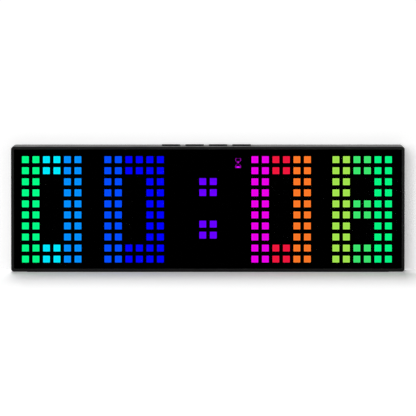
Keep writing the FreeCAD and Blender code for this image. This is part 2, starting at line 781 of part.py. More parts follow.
def make_driver_chips():
    """Four flat chips on the back of the display board."""
    chips = []
    for column in ("band_left + case_width / 8", "band_right - case_width / 8"):
        for row in ("middle - digit_height / 5", "middle + digit_height / 5"):
            chips.append(block(f"driver_chip_{len(chips)}", around(column, "driver_width"),
                               ("board_back", "board_back + chip_thick"),
                               around(row, "driver_height")))
    return group("driver_chips", chips)


# ---------------------------------------------------------------------------------------------
# Housing and cover

FOOT_ROWS = ("foot_front", "foot_rear")
BUTTONS = [f"button_shift + ({index}) * button_pitch" for index in (-1.5, -0.5, 0.5, 1.5)]
KEY_SCREWS = ["button_shift - key_post_spread", "button_shift + key_post_spread"]


def foot_outline(row, gap):
    """Spans across and back of one rubber strip, with a gap all round."""
    across = (f"left + foot_inset - {gap}", f"right - foot_inset + {gap}")
    return across, around(row, f"foot_width + 2 * {gap}")


def make_front_housing():
    housing = new_body("front_housing")
    layer(housing, "Pad", "shell", "y", "front", "parting", [rounded(*inset("0"), "corner_radius")])
    dress(housing, "Fillet", "front_edge", "front_round", lies_at("y", "front"))
    layer(housing, "Pocket", "lens_seat", "y", "front", "film_back", [
        rounded(*inset("rim"), "inner_radius")])
    layer(housing, "Pocket", "cavity", "y", "ledge_back", "parting",
          [rounded(*inset("wall"), "inner_radius")])
    layer(housing, "Pocket", "display_opening", "y", "film_back", "ledge_back", [
        square(*inset("rim + ledge"))])
    rim_edge = lies_at("y", "front")
    inside_rim = number("case_width") - 2 * number("rim")
    dress(housing, "Chamfer", "rim_edge", "rim_bevel",
          lambda box: rim_edge(box) and box.XMax <= inside_rim / 2 + 1e-4
          and box.XMin >= -inside_rim / 2 - 1e-4 and number("base + rim") - 1e-4 <= box.ZMin
          and box.ZMax <= number("top - rim") + 1e-4)
    layer(housing, "Pad", "screw_posts", "y", "ledge_back", "parting", [
        circle(across, up, "post_radius") for across, up in POSTS])
    hole_end = "rear - head_sink - screw_length - screw_room"
    layer(housing, "Pocket", "screw_holes", "y", hole_end, "parting", [
        circle(across, up, "screw_radius + thread_gap") for across, up in POSTS])
    layer(housing, "Pocket", "button_openings", "z", "cavity_high", "top", [
        rounded(around(centre, "button_width + 2 * button_gap"),
                around("button_y", "button_depth + 2 * button_gap"), "button_corner + button_gap")
        for centre in BUTTONS])
    layer(housing, "Pad", "key_posts", "z", "switch_bottom", "cavity_high", [
        circle(centre, "key_board_y", "standoff_radius") for centre in KEY_SCREWS])
    layer(housing, "Pocket", "key_holes", "z", "switch_bottom", "cavity_high - wall / 2", [
        circle(centre, "key_board_y", "small_screw_radius + thread_gap") for centre in KEY_SCREWS])
    layer(housing, "Pocket", "foot_recesses", "z", "base", "base + foot_recess", [
        square(*foot_outline(row, "fit_gap")) for row in FOOT_ROWS])
    layer(housing, "Pocket", "seam", "y", "parting - seam", "parting", [
        rounded(*inset("-seam"), "corner_radius"), rounded(*inset("seam"), "corner_radius - seam")])
    return housing


def make_feet():
    """Two long rubber strips under the case."""
    return group("rubber_feet", [
        block(f"{row}_strip", *foot_outline(row, "0"), ("0", "foot_proud + foot_recess"))
        for row in FOOT_ROWS])


MAIN_SCREWS = [(side, f"middle {rise} (main_height / 2 - standoff_inset)")
               for side in ("main_left + standoff_inset", "main_right - standoff_inset")
               for rise in "-+"]
SUPPORTS = [(side, f"middle {rise} digit_height / 3")
            for side in ("left + support_inset", "right - support_inset") for rise in "-+"]
VENTS = [f"main_shift + ({step}) * vent_pitch" for step in (-3, -2, -1, 0, 1, 2, 3)]


def sound_holes():
    """Centres of the sound holes: one in the middle and three rings round it."""
    centres = [("speaker_shift", "middle")]
    for ring in (1, 2, 3):
        for step in range(6 * ring):
            angle = 60 * step / ring
            centres.append((f"speaker_shift + {ring} * sound_pitch * cos({angle})",
                            f"middle + {ring} * sound_pitch * sin({angle})"))
    return centres


def make_rear_cover():
    cover = new_body("rear_cover")
    layer(cover, "Pad", "shell", "y", "parting", "rear", [rounded(*inset("0"), "corner_radius")])
    dress(cover, "Fillet", "rear_edge", "rear_round", lies_at("y", "rear"))
    layer(cover, "Pad", "lip", "y", "parting - lip_length", "parting",
          [rounded(*inset("wall + fit_gap"), "inner_radius")])
    layer(cover, "Pocket", "lip_notches", "y", "parting - lip_length", "parting", [
        circle(across, up, "post_radius + post_gap") for across, up in POSTS])
    layer(cover, "Pocket", "cavity", "y", "parting - lip_length", "back_inner",
          [square(*inset("wall + fit_gap + lip_thick"))])
    layer(cover, "Pad", "screw_posts", "y", "parting", "back_inner", [
        circle(across, up, "post_radius") for across, up in POSTS])
    layer(cover, "Pad", "display_supports", "y", "board_back", "back_inner", [
        circle(across, up, "standoff_radius") for across, up in SUPPORTS])
    layer(cover, "Pad", "board_standoffs", "y", "main_back", "back_inner", [
        circle(across, up, "standoff_radius") for across, up in MAIN_SCREWS])
    add_battery_bay(cover)
    layer(cover, "Pad", "speaker_ring", "y", "back_inner - ring_height", "back_inner", [
        circle("speaker_shift", "middle", "speaker_radius + fit_gap + ring_thick"),
        circle("speaker_shift", "middle", "speaker_radius + fit_gap")])
    layer(cover, "Pocket", "screw_holes", "y", "parting", "rear - head_sink", [
        circle(across, up, "screw_radius + thread_gap") for across, up in POSTS])
    layer(cover, "Pocket", "head_seats", "y", "rear - head_sink", "rear", [
        circle(across, up, "head_radius + 2 * fit_gap") for across, up in POSTS])
    layer(cover, "Pocket", "board_screw_holes", "y", "main_back", "main_back + small_screw_length", [
        circle(across, up, "small_screw_radius + thread_gap") for across, up in MAIN_SCREWS])
    layer(cover, "Pocket", "sound_holes", "y", "back_inner", "rear", [
        circle(across, up, "sound_hole") for across, up in sound_holes()])
    layer(cover, "Pocket", "vents", "y", "back_inner", "rear", [
        rounded(around(across, "vent_width"), around("socket_z - vent_drop", "vent_height"),
                "vent_width / 2 - hair") for across in VENTS])
    layer(cover, "Pocket", "socket_opening", "y", "back_inner", "rear", [
        rounded(around("main_shift", "socket_width + 2 * socket_gap"),
                around("socket_z", "socket_height + 2 * socket_gap"),
                "socket_height / 2 + socket_gap - hair")])
    layer(cover, "Pocket", "blank_label_field", "y", "rear - rib_depth", "rear", [
        rounded(around("main_shift", "main_width"),
                around("socket_z + label_rise", "label_height"), "inner_radius")])
    return cover


BAY_X = around("bay_shift", "bay_length")
BAY_Z = around("middle", "bay_height")
FINGER_GROOVES = 4


def add_battery_bay(cover):
    """Walled bay for three cells, its door's seat, hinge holes, latch slot and nail notch."""
    layer(cover, "Pad", "bay", "y", "bay_floor - bay_wall", "back_inner", [
        square(around("bay_shift", "bay_length + 2 * bay_wall"),
               around("middle", "bay_height + 2 * bay_wall"))])
    layer(cover, "Pocket", "bay_inside", "y", "bay_floor", "rear", [square(BAY_X, BAY_Z)])
    layer(cover, "Pocket", "door_seat", "y", "back_inner", "rear", [
        square(("door_left - door_gap", "door_right + door_gap"),
               ("door_low - door_gap", "door_high + door_gap"))])
    layer(cover, "Pocket", "hinge_holes", "x",
          "door_left - door_gap - pintle_length", "door_right + door_gap + pintle_length",
          [circle("hinge_y", "hinge_z", "pintle_radius + hinge_gap")])
    layer(cover, "Pocket", "latch_slot", "y", "door_inner - latch_length - latch_slot", "back_inner", [
        square(around("bay_shift", "latch_width + 2 * latch_slot"),
               ("latch_high - latch_thick - latch_slot", "latch_high + latch_nose + latch_slot"))])
    layer(cover, "Pocket", "nail_notch", "y", "hinge_y", "rear", [
        rounded(around("bay_shift", "latch_width + 2 * rib_width"),
                ("door_high - door_gap", "door_high + 3 * rib_width"), "inner_radius")])


def make_battery_door():
    """Flat door that swings about two stubs at its rounded lower edge and snaps shut on top."""
    door = new_body("battery_door")
    half = "(rear - door_inner) / 2"
    layer(door, "Pad", "hinge_edge", "x", "door_left", "door_right",
          [circle("hinge_y", "hinge_z", half)])
    layer(door, "Pad", "panel", "x", "door_left", "door_right",
          [square(("door_inner", "rear"), ("hinge_z", "door_high"))])
    layer(door, "Pad", "pintles", "x", "door_left - pintle_length", "door_right + pintle_length",
          [circle("hinge_y", "hinge_z", "pintle_radius")])
    finger_y = "door_inner - latch_length"
    layer(door, "Pad", "latch", "x", *around("bay_shift", "latch_width"), [polygon([
        ("door_inner + fit_gap", "latch_high - latch_thick"),
        ("door_inner + fit_gap", "latch_high"),
        (f"{finger_y} + 2 * latch_thick", "latch_high"),
        (f"{finger_y} + latch_thick", "latch_high + latch_nose"),
        (finger_y, "latch_high"),
        (finger_y, "latch_high - latch_thick")])])
    layer(door, "Pocket", "finger_grooves", "y", "rear - rib_depth", "rear", [
        rounded(around("bay_shift", "latch_width"),
                around(f"door_high - {index + 1} * rib_pitch", "rib_width"), "rib_width / 2 - hair")
        for index in range(FINGER_GROOVES)])
    return door


def make_cover_screws():
    """Pan-head screws from behind, with a cross recess."""
    screws = []
    seat = "rear - head_sink"
    crown = f"{seat} + head_height"
    for index, centre in enumerate(POSTS):
        name = f"cover_screw_{index}"
        solid = fused(f"{name}_solid", [
            rod(f"{name}_shank", "y", f"{seat} - screw_length", seat, centre, "screw_radius"),
            rod(f"{name}_head", "y", seat, crown, centre, "head_radius")])
        across, up = centre
        depth = (f"{seat} + head_height / 3", crown)
        cross = group(f"{name}_cross", [
            block(f"{name}_slot", around(across, "head_radius * 1.2"), depth, around(up, "head_radius / 4")),
            block(f"{name}_slit", around(across, "head_radius / 4"), depth, around(up, "head_radius * 1.2"))])
        screws.append(cut(name, solid, cross))
    return group("cover_screws", screws)


# ---------------------------------------------------------------------------------------------
# Buttons

def make_button(index, centre):
    button = new_body(f"button_{index}")
    grip = (around(centre, "button_width"), around("button_y", "button_depth"))
    keep = (around(centre, "button_width + 2 * flange_lip"),
            around("button_y", "button_depth + 2 * flange_lip"))
    layer(button, "Pad", "cap", "z", "flange_bottom", "top + button_proud",
          [rounded(*grip, "button_corner")])
    dress(button, "Fillet", "top_edge", "button_round", lies_at("z", "top + button_proud"))
    layer(button, "Pad", "flange", "z", "flange_bottom", "flange_top", [rounded(*keep, "button_corner")])
    layer(button, "Pad", "stem", "z", "stem_bottom", "flange_bottom",
          [circle(centre, "button_y", "stem_radius")])
    return button


def make_switch_body(index, centre):
    name = f"switch_body_{index}"
    shell = block(f"{name}_shell", around(centre, "switch_size"), around("button_y", "switch_size"),
                  ("switch_bottom", "switch_top"))
    bore = rod(f"{name}_bore", "z", "stem_bottom - plunger_length - plunger_room", "switch_top",
               (centre, "button_y"), "plunger_radius + plunger_gap")
    return cut(name, shell, bore)


def make_switch_plunger(index, centre):
    return rod(f"switch_plunger_{index}", "z", "stem_bottom - plunger_length", "stem_bottom",
               (centre, "button_y"), "plunger_radius")


def make_button_board():
    board = block("button_board_plate", around("button_shift", "key_board_length"),
                  around("key_board_y", "key_board_depth"), ("key_board_bottom", "switch_bottom"))
    holes = group("button_board_holes", [
        rod(f"button_board_hole_{index}", "z", "key_board_bottom", "switch_bottom",
            (centre, "key_board_y"), "small_screw_radius + thread_gap")
        for index, centre in enumerate(KEY_SCREWS)])
    return cut("button_board", board, holes)


# ---------------------------------------------------------------------------------------------
# Main board

def make_main_board():
    board = block("main_board_plate", around("main_shift", "main_width"),
                  ("main_front", "main_back"), around("middle", "main_height"))
    holes = group("main_board_holes", [
        rod(f"main_board_hole_{index}", "y", "main_front", "main_back", place,
            "small_screw_radius + thread_gap")
        for index, place in enumerate(MAIN_SCREWS)])
    return cut("main_board", board, holes)


def make_board_screws():
    """The small screws of the display board, the button board and the main board."""
    screws = [small_screw(f"display_screw_{index}", "y", "board_back", "board_thick", place, "-")
              for index, place in enumerate(DISPLAY_SCREWS)]
    screws += [small_screw(f"key_screw_{index}", "z", "key_board_bottom", "key_board_thick",
                           (centre, "key_board_y"), "+")
               for index, centre in enumerate(KEY_SCREWS)]
    screws += [small_screw(f"main_screw_{index}", "y", "main_front", "board_thick", place, "+")
               for index, place in enumerate(MAIN_SCREWS)]
    return group("board_screws", screws)


def board_part(name, across, width, thick, height):
    """A flat part in the row of chips on the front of the main board."""
    return block(name, around(across, width), (f"main_front - {thick}", "main_front"),
                 around("chip_z", height))


def make_capacitors():
    """Two upright cans beside each other, level with the power socket."""
    pitch = "(2 * capacitor_radius + capacitor_gap)"
    return group("capacitors", [
        rod(f"capacitor_{index}", "y", "main_front - capacitor_height", "main_front",
            (f"capacitor_x + {index} * {pitch}", "socket_z"), "capacitor_radius")
        for index in (0, 1)])


def make_board_parts():
    """Chips and small parts on the front of the main board, one node each."""
    return [
        board_part("microcontroller", "main_shift", "controller_side", "chip_thick", "controller_side"),
        board_part("sound_chip", "main_shift - chip_spread", "sound_chip_side", "chip_thick",
                   "sound_chip_side"),
        board_part("clock_crystal", "main_shift + chip_spread", "crystal_width", "crystal_thick",
                   "crystal_height"),
        make_capacitors()]


def make_power_socket():
    """Flat-oval inlet that stands on the main board and ends just below the rear face."""
    socket = new_body("power_socket")
    mouth = "rear - socket_sink"
    layer(socket, "Pad", "shell", "y", "main_back", mouth, [
        rounded(around("main_shift", "socket_width"), around("socket_z", "socket_height"),
                "socket_height / 2 - hair")])
    layer(socket, "Pocket", "inside", "y", "main_back + socket_floor", mouth, [
        rounded(around("main_shift", "socket_width - 2 * socket_skin"),
                around("socket_z", "socket_height - 2 * socket_skin"),
                "socket_height / 2 - socket_skin - hair")])
    layer(socket, "Pad", "tongue", "y", "main_back + socket_floor", f"{mouth} - tongue_sink", [
        square(around("main_shift", "tongue_width"), around("socket_z", "tongue_thick"))])
    return socket


RIBBON_Z = "middle - digit_height / 8"


def make_ribbon_plugs():
    """A connector on each board for the ribbon between them."""
    width = around("main_shift", "ribbon_width + 2 * plug_margin")
    height = around(RIBBON_Z, "4 * ribbon_thick")
    return group("ribbon_connectors", [
        block("ribbon_connector_front", width, ("board_back", "board_back + plug_length"), height),
        block("ribbon_connector_rear", width, ("main_front - plug_length", "main_front"), height)])


def make_ribbon():
    """Flat lead between the two connectors."""
    return block("display_ribbon", around("main_shift", "ribbon_width"),
                 ("board_back + plug_length", "main_front - plug_length"),
                 around(RIBBON_Z, "ribbon_thick"))


# ---------------------------------------------------------------------------------------------
# Speaker

def make_speaker():
    """Speaker with its flange on the cover: basket, paper cone and magnet."""
    centre = ("speaker_shift", "middle")
    seat = "back_inner - speaker_flange"
    deep = f"{seat} - basket_depth"
    floor = f"{deep} + basket_skin"
    paper_end = "back_inner - basket_skin"
    flange = rod("speaker_flange_disc", "y", seat, "back_inner", centre, "speaker_radius")
    basket = cone("speaker_basket", "y", deep, seat, centre,
                  "basket_radius", "speaker_radius - basket_skin")
    space = cone("speaker_space", "y", floor, "back_inner", centre,
                 "basket_radius - basket_skin", "speaker_radius - 2 * basket_skin")
    frame = cut("speaker_frame", fused("speaker_frame_solid", [flange, basket]), space)
    paper_outer = cone("paper_outer", "y", f"{floor} + paper_gap", paper_end, centre,
                       "basket_radius - basket_skin - 2 * paper_gap",
                       "speaker_radius - 3 * basket_skin")
    paper_inner = cone("paper_inner", "y", f"{floor} + 3 * paper_gap", paper_end, centre,
                       "basket_radius - basket_skin - 5 * paper_gap",
                       "speaker_radius - 3 * basket_skin - 2 * paper_gap")
    paper = cut("speaker_cone", paper_outer, paper_inner)
    magnet = rod("speaker_magnet", "y", f"{deep} - magnet_thick", deep, centre, "magnet_radius")
    return [frame, paper, magnet]


# ---------------------------------------------------------------------------------------------
# Batteries

CELL_ROWS = [f"middle + ({row}) * (2 * cell_radius + cell_gap)" for row in (-1, 0, 1)]
CELL_Y = "bay_floor + cell_margin + cell_radius"
PLUS_ENDS = ("right", "left", "right")


def make_cell(index, height, plus_end):
    """A cell whose nub touches the plain contact at one end and whose flat end meets the spring."""
    name = f"battery_cell_{index}"
    centre = (CELL_Y, height)
    bay_left, bay_right = BAY_X
    if plus_end == "right":
        tip = f"{bay_right} - contact_thick"
        span = (f"{tip} - cell_length", f"{tip} - nub_length")
        nub_span = (f"{tip} - nub_length", tip)
    else:
        tip = f"{bay_left} + contact_thick"
        span = (f"{tip} + nub_length", f"{tip} + cell_length")
        nub_span = (tip, f"{tip} + nub_length")
    can = rod(f"{name}_can", "x", *span, centre, "cell_radius")
    nub = rod(f"{name}_nub", "x", *nub_span, centre, "nub_radius")
    return fused(name, [can, nub])


def make_contact_plates():
    """Six plates, one at each end of each cell, flat on the bay's end walls."""
    plates = []
    bay_left, bay_right = BAY_X
    for index, height in enumerate(CELL_ROWS):
        depth, rise = around(CELL_Y, "contact_side"), around(height, "contact_side")
        plates.append(block(f"contact_left_{index}", (bay_left, f"{bay_left} + contact_thick"),
                            depth, rise))
        plates.append(block(f"contact_right_{index}", (f"{bay_right} - contact_thick", bay_right),
                            depth, rise))
    return group("contact_plates", plates)


def make_contact_springs():
    """One conical spring per cell, from its plate to the cell's flat end."""
    wire = number("spring_wire")
    turns = 3
    height = number("spring_room") - 2 * wire
    wide = number("spring_radius")
    tight = wide * 0.6
    lean = -math.degrees(math.atan2(wide - tight, height))
    springs = []
    for row, plus_end in zip(CELL_ROWS, PLUS_ENDS):
        path = Part.makeHelix(height / turns, height, wide, lean)
        section = Part.Wire(Part.Circle(Vector(wide, 0, 0), Vector(0, 1, 0), wire).toShape())
        coil = Part.Wire(path).makePipeShell([section], True, True)
        if plus_end == "right":
            start = number(f"{BAY_X[0]} + contact_thick + spring_wire")
            turn = FreeCAD.Rotation(Vector(0, 1, 0), 90)
        else:
            start = number(f"{BAY_X[1]} - contact_thick - spring_wire")
            turn = FreeCAD.Rotation(Vector(0, 1, 0), -90)
        coil.Placement = FreeCAD.Placement(Vector(start, number(CELL_Y), number(row)), turn)
        springs.append(coil)
    return feature("contact_springs", Part.makeCompound(springs))


# ---------------------------------------------------------------------------------------------
# Wires

def lead(points):
    """A round wire along straight runs joined by tangent arcs, as one solid."""
    radius = number("wire_radius")
    corners = [Vector(*[number(value) for value in point]) for point in points]
    edges = []
    start = corners[0]
    for before, corner, after in zip(corners, corners[1:], corners[2:]):
        inward, outward = (before - corner).normalize(), (after - corner).normalize()
        half_turn = (math.pi - inward.getAngle(outward)) / 2
        bend = 0.45 * min(before.distanceToPoint(corner), after.distanceToPoint(corner))
        bend_radius = bend / math.tan(half_turn)
        first, last = corner + inward * bend, corner + outward * bend
        to_centre = (inward + outward).normalize()
        centre = corner + to_centre * (bend_radius / math.cos(half_turn))
        edges.append(Part.LineSegment(start, first).toShape())
        edges.append(Part.Arc(first, centre - to_centre * bend_radius, last).toShape())
        start = last
    edges.append(Part.LineSegment(start, corners[-1]).toShape())
    path = Part.Wire(edges)
    section = Part.Wire(Part.Circle(corners[0], corners[1] - corners[0], radius).toShape())
    return path.makePipeShell([section], True, False)


def board_leads(name, start_x, start_y, board_x):
    """Two wires from a piece at the side to the front of the main board."""
    wires = []
    clear_y = f"{start_y} - wire_start"
    for height in around("middle", "wire_spread"):
        wires.append(lead([
            (start_x, start_y, height),
            (start_x, clear_y, height),
            (f"({board_x} + {start_x}) / 2", f"{clear_y} - wire_sag", height),
            (board_x, "main_front - wire_loop", height),
            (board_x, "main_front", height)]))
    return feature(name, Part.makeCompound(wires))


def make_leads():
    """The wires of the speaker and of the battery bay."""
    magnet_back = "back_inner - speaker_flange - basket_depth - magnet_thick"
    bay_corner = "bay_shift - bay_length / 2 + wire_start"
    return [board_leads("speaker_leads", "speaker_shift", magnet_back, "main_left + wire_inset"),
            board_leads("battery_leads", bay_corner, "bay_floor - bay_wall", "main_right - wire_inset")]


# ---------------------------------------------------------------------------------------------
# The assembly

nodes = [make_front_housing(), make_rear_cover(), make_battery_door(), make_lens(), make_tape(),
         make_mask_film(), make_timer_icon(), make_light_grid()]
nodes += make_tiles()
nodes += [make_led_board(), make_pixel_leds(), make_board_screws(), make_driver_chips(),
          make_feet(), make_cover_screws(), make_button_board(), make_main_board(),
          make_power_socket(), make_ribbon_plugs(), make_ribbon(), make_contact_plates(),
          make_contact_springs()]
nodes += make_board_parts() + make_speaker() + make_leads()
for index, centre in enumerate(BUTTONS, start=1):
    nodes += [make_button(index, centre), make_switch_body(index, centre),
              make_switch_plunger(index, centre)]
for index, (height, plus_end) in enumerate(zip(CELL_ROWS, PLUS_ENDS), start=1):
    nodes.append(make_cell(index, height, plus_end))

document.recompute()
for item in document.Objects:
    if "Invalid" in item.State or "Error" in item.State:
        raise RuntimeError(f"{item.Name} failed: {item.State}")
os.makedirs("parts", exist_ok=True)
for item in nodes:
    item.Label = item.Name
    if item.Shape.isNull() or not item.Shape.isValid() or not item.Shape.Solids:
        raise RuntimeError(f"{item.Name} has no valid shape")
for item in nodes:
    item.Shape.exportStep(f"parts/{item.Label}.step")
print(len(nodes), "nodes")
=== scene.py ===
"""Looks of a wide desk clock that writes the time in square light pixels.

Lengths are in metres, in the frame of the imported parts: +X is the viewer's right, the display
faces -Y, +Z is up, and the feet stand on Z = 0.
"""

import math

import bpy
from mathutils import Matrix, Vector


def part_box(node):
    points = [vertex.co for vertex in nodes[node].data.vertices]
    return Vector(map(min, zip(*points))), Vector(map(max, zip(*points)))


MM = 0.001

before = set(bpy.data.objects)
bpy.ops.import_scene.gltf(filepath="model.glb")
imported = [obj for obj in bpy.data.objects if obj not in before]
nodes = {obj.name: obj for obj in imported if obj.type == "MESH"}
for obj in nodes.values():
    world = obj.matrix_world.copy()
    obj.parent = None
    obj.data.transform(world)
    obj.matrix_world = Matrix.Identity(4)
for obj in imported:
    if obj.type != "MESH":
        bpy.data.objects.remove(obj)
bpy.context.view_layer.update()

# Sizes that the parts have too
COLUMN_PITCH = 5.348 * MM
ROW_PITCH = 5.6305 * MM
TILE_SIDE = 4.1 * MM

# Numbers of the keys
KEYS = (1, 2, 3, 4)


# ---------------------------------------------------------------------------------------------
# Node helpers

def linear(red, green, blue):
    """Display levels from 0 to 255 as a linear colour."""
    def one(level):
        share = level / 255
        return share / 12.92 if share <= 0.04045 else ((share + 0.055) / 1.055) ** 2.4
    return (one(red), one(green), one(blue), 1.0)


def grey(value):
    """A linear grey."""
    return (value, value, value, 1.0)


def tinted(colour, factor, extra=0.0):
    """A colour made darker or brighter, up to full brightness."""
    return tuple(min(1.0, factor * value + extra) for value in colour[:3]) + (1.0,)


def join(tree, source, target):
    """Links a socket, or sets a plain value."""
    if isinstance(source, bpy.types.NodeSocket):
        tree.links.new(source, target)
    else:
        target.default_value = source


def add(tree, kind, inputs=None, **settings):
    """Adds a node, with its settings, and plain values or links for its inputs."""
    node = tree.nodes.new(kind)
    for name, value in settings.items():
        setattr(node, name, value)
    for key, value in (inputs or {}).items():
        join(tree, value, node.inputs[key])
    return node


def math_node(tree, operation, *values):
    """The result of one step of arithmetic."""
    node = add(tree, "ShaderNodeMath", dict(enumerate(values)), operation=operation)
    return node.outputs[0]


# Numbers of a Mix node's two colour inputs and of its colour output
MIX_FIRST, MIX_SECOND, MIX_RESULT = 6, 7, 2


def blended(tree, factor, first, second):
    """A colour between two colours."""
    node = add(tree, "ShaderNodeMix", {"Factor": factor, MIX_FIRST: first, MIX_SECOND: second},
               data_type="RGBA")
    return node.outputs[MIX_RESULT]


def ranged(tree, value, low, high, to_low=0.0, to_high=1.0):
    """A value moved from one range to another, kept between its ends."""
    node = add(tree, "ShaderNodeMapRange", {
        "Value": value, "From Min": low, "From Max": high, "To Min": to_low, "To Max": to_high})
    return node.outputs[0]


def object_place(tree, centre=(0, 0, 0), stretch=(1, 1, 1)):
    """Object coordinates measured from a centre, and stretched along each axis."""
    place = add(tree, "ShaderNodeTexCoord").outputs["Object"]
    moved = add(tree, "ShaderNodeMapping", {
        "Vector": place,
        "Location": [-value * scale for value, scale in zip(centre, stretch)],
        "Scale": stretch})
    return moved.outputs[0]


def distance_from(tree, centre=(0, 0, 0), stretch=(1, 1, 1)):
    """Distance of each point from a centre, in stretched object coordinates."""
    away = add(tree, "ShaderNodeVectorMath", {0: object_place(tree, centre, stretch)},
               operation="LENGTH")
    return away.outputs["Value"]


def distance_along_x(tree, start):
    """Distance of each point from a start on the X axis."""
    return add(tree, "ShaderNodeSeparateXYZ", {0: object_place(tree, (start, 0, 0))}).outputs["X"]


def noise(tree, place, size, detail=2.0, roughness=0.5):
    """Cloudy values between 0 and 1 whose lumps have about the given size."""
    node = add(tree, "ShaderNodeTexNoise", {
        "Vector": place, "Scale": 1 / size, "Detail": detail, "Roughness": roughness})
    return node.outputs[0]


def new_group(name, inputs, outputs):
    """An empty node group with named value or vector inputs and named value outputs."""
    group = bpy.data.node_groups.new(name, "ShaderNodeTree")
    for label, default in inputs.items():
        kind = "NodeSocketVector" if default is None else "NodeSocketFloat"
        socket = group.interface.new_socket(name=label, in_out="INPUT", socket_type=kind)
        if default is not None:
            socket.default_value = default
    for label in outputs:
        group.interface.new_socket(name=label, in_out="OUTPUT", socket_type="NodeSocketFloat")
    return group, group.nodes.new("NodeGroupInput").outputs, group.nodes.new("NodeGroupOutput").inputs


def placed(tree, group, inputs):
    """Places a group in a material and gives its outputs."""
    node = tree.nodes.new("ShaderNodeGroup")
    node.node_tree = group
    for key, value in inputs.items():
        join(tree, value, node.inputs[key])
    return node.outputs


# ---------------------------------------------------------------------------------------------
# Shared effects. The scale of a texture is its number of lumps in a metre.

def make_grain():
    """Moulded texture: small rounded cells, broken up by finer noise, and a slow mottle."""
    group, given, result = new_group(
        "moulded grain", {"Vector": None, "Size": 0.0004}, ["Height", "Mottle"])
    scale = math_node(group, "DIVIDE", 1.0, given["Size"])
    cells = add(group, "ShaderNodeTexVoronoi", {
        "Vector": given["Vector"], "Scale": scale, "Smoothness": 0.6}, feature="SMOOTH_F1")
    fine = add(group, "ShaderNodeTexNoise", {
        "Vector": given["Vector"], "Scale": scale, "Detail": 3.0})
    height = math_node(group, "MULTIPLY_ADD", fine.outputs[0], 0.5, cells.outputs["Distance"])
    join(group, height, result["Height"])
    slow = add(group, "ShaderNodeTexNoise", {
        "Vector": given["Vector"], "Scale": 60.0, "Detail": 4.0})
    join(group, ranged(group, slow.outputs[0], 0.35, 0.65), result["Mottle"])
    return group


def make_edge_wear_and_highlight():
    """Worn edges, which on moulded plastic also carry a painted highlight: where the rounded normal
    turns away from the flat one, broken up by noise.
    """
    group, given, result = new_group(
        "edge wear", {"Vector": None, "Width": 0.0003, "Breakup": 900.0}, ["Wear"])
    soft = add(group, "ShaderNodeBevel", {"Radius": given["Width"]}, samples=4)
    plain = add(group, "ShaderNodeNewGeometry").outputs["Normal"]
    agree = add(group, "ShaderNodeVectorMath", {0: soft.outputs[0], 1: plain},
                operation="DOT_PRODUCT").outputs["Value"]
    edge = ranged(group, agree, 0.985, 0.82)
    speckle = add(group, "ShaderNodeTexNoise", {
        "Vector": given["Vector"], "Scale": given["Breakup"], "Detail": 3.0})
    rubbed = ranged(group, speckle.outputs[0], 0.35, 0.62)
    join(group, math_node(group, "MULTIPLY", edge, rubbed), result["Wear"])
    return group


def make_dust():
    """Thin dust on faces that look up, gathered in soft patches."""
    group, given, result = new_group("settled dust", {"Vector": None, "Amount": 0.3}, ["Dust"])
    normal = add(group, "ShaderNodeNewGeometry").outputs["Normal"]
    up = add(group, "ShaderNodeSeparateXYZ", {0: normal}).outputs["Z"]
    facing = ranged(group, up, 0.6, 0.95)
    patches = add(group, "ShaderNodeTexNoise", {
        "Vector": given["Vector"], "Scale": 140.0, "Detail": 6.0})
    specks = add(group, "ShaderNodeTexNoise", {
        "Vector": given["Vector"], "Scale": 2600.0, "Detail": 1.0})
    soft = ranged(group, patches.outputs[0], 0.35, 0.75)
    sharp = ranged(group, specks.outputs[0], 0.62, 0.72)
    film = math_node(group, "MULTIPLY_ADD", sharp, 0.5, soft)
    settled = math_node(group, "MULTIPLY", film, facing)
    join(group, math_node(group, "MULTIPLY", settled, given["Amount"]), result["Dust"])
    return group


def make_handling():
    """Where fingers have polished or greased a surface: long soft smears."""
    group, given, result = new_group("handling marks", {"Vector": None, "Size": 0.02}, ["Smear"])
    scale = math_node(group, "DIVIDE", 1.0, given["Size"])
    broad = add(group, "ShaderNodeTexNoise", {
        "Vector": given["Vector"], "Scale": scale, "Detail": 5.0, "Distortion": 0.8})
    join(group, ranged(group, broad.outputs[0], 0.4, 0.7), result["Smear"])
    return group


def make_streaks():
    """Fine parallel lines of drawn or brushed metal, along the vector's X axis."""
    group, given, result = new_group("drawn metal", {"Vector": None, "Size": 0.0002}, ["Streak"])
    long = add(group, "ShaderNodeMapping", {"Vector": given["Vector"], "Scale": (0.04, 1, 1)})
    scale = math_node(group, "DIVIDE", 1.0, given["Size"])
    lines = add(group, "ShaderNodeTexNoise", {
        "Vector": long.outputs[0], "Scale": scale, "Detail": 4.0})
    join(group, ranged(group, lines.outputs[0], 0.3, 0.7), result["Streak"])
    return group


def make_grid_distance():
    """Distance from the nearest point of a grid that starts at the vector's origin.

    Measured round it is a circle's radius, and measured square it is half a square's side.
    """
    group, given, result = new_group("grid distance", {
        "Vector": None, "Across": COLUMN_PITCH, "Up": ROW_PITCH}, ["Square", "Round"])
    place = add(group, "ShaderNodeSeparateXYZ", {0: given["Vector"]}).outputs
    away = []
    for axis, pitch in (("X", "Across"), ("Z", "Up")):
        half = math_node(group, "MULTIPLY", given[pitch], 0.5)
        back = math_node(group, "MULTIPLY", given[pitch], -0.5)
        away.append(math_node(group, "ABSOLUTE", math_node(group, "WRAP", place[axis], half, back)))
    join(group, math_node(group, "MAXIMUM", *away), result["Square"])
    squared = [math_node(group, "POWER", value, 2.0) for value in away]
    join(group, math_node(group, "SQRT", math_node(group, "ADD", *squared)), result["Round"])
    return group


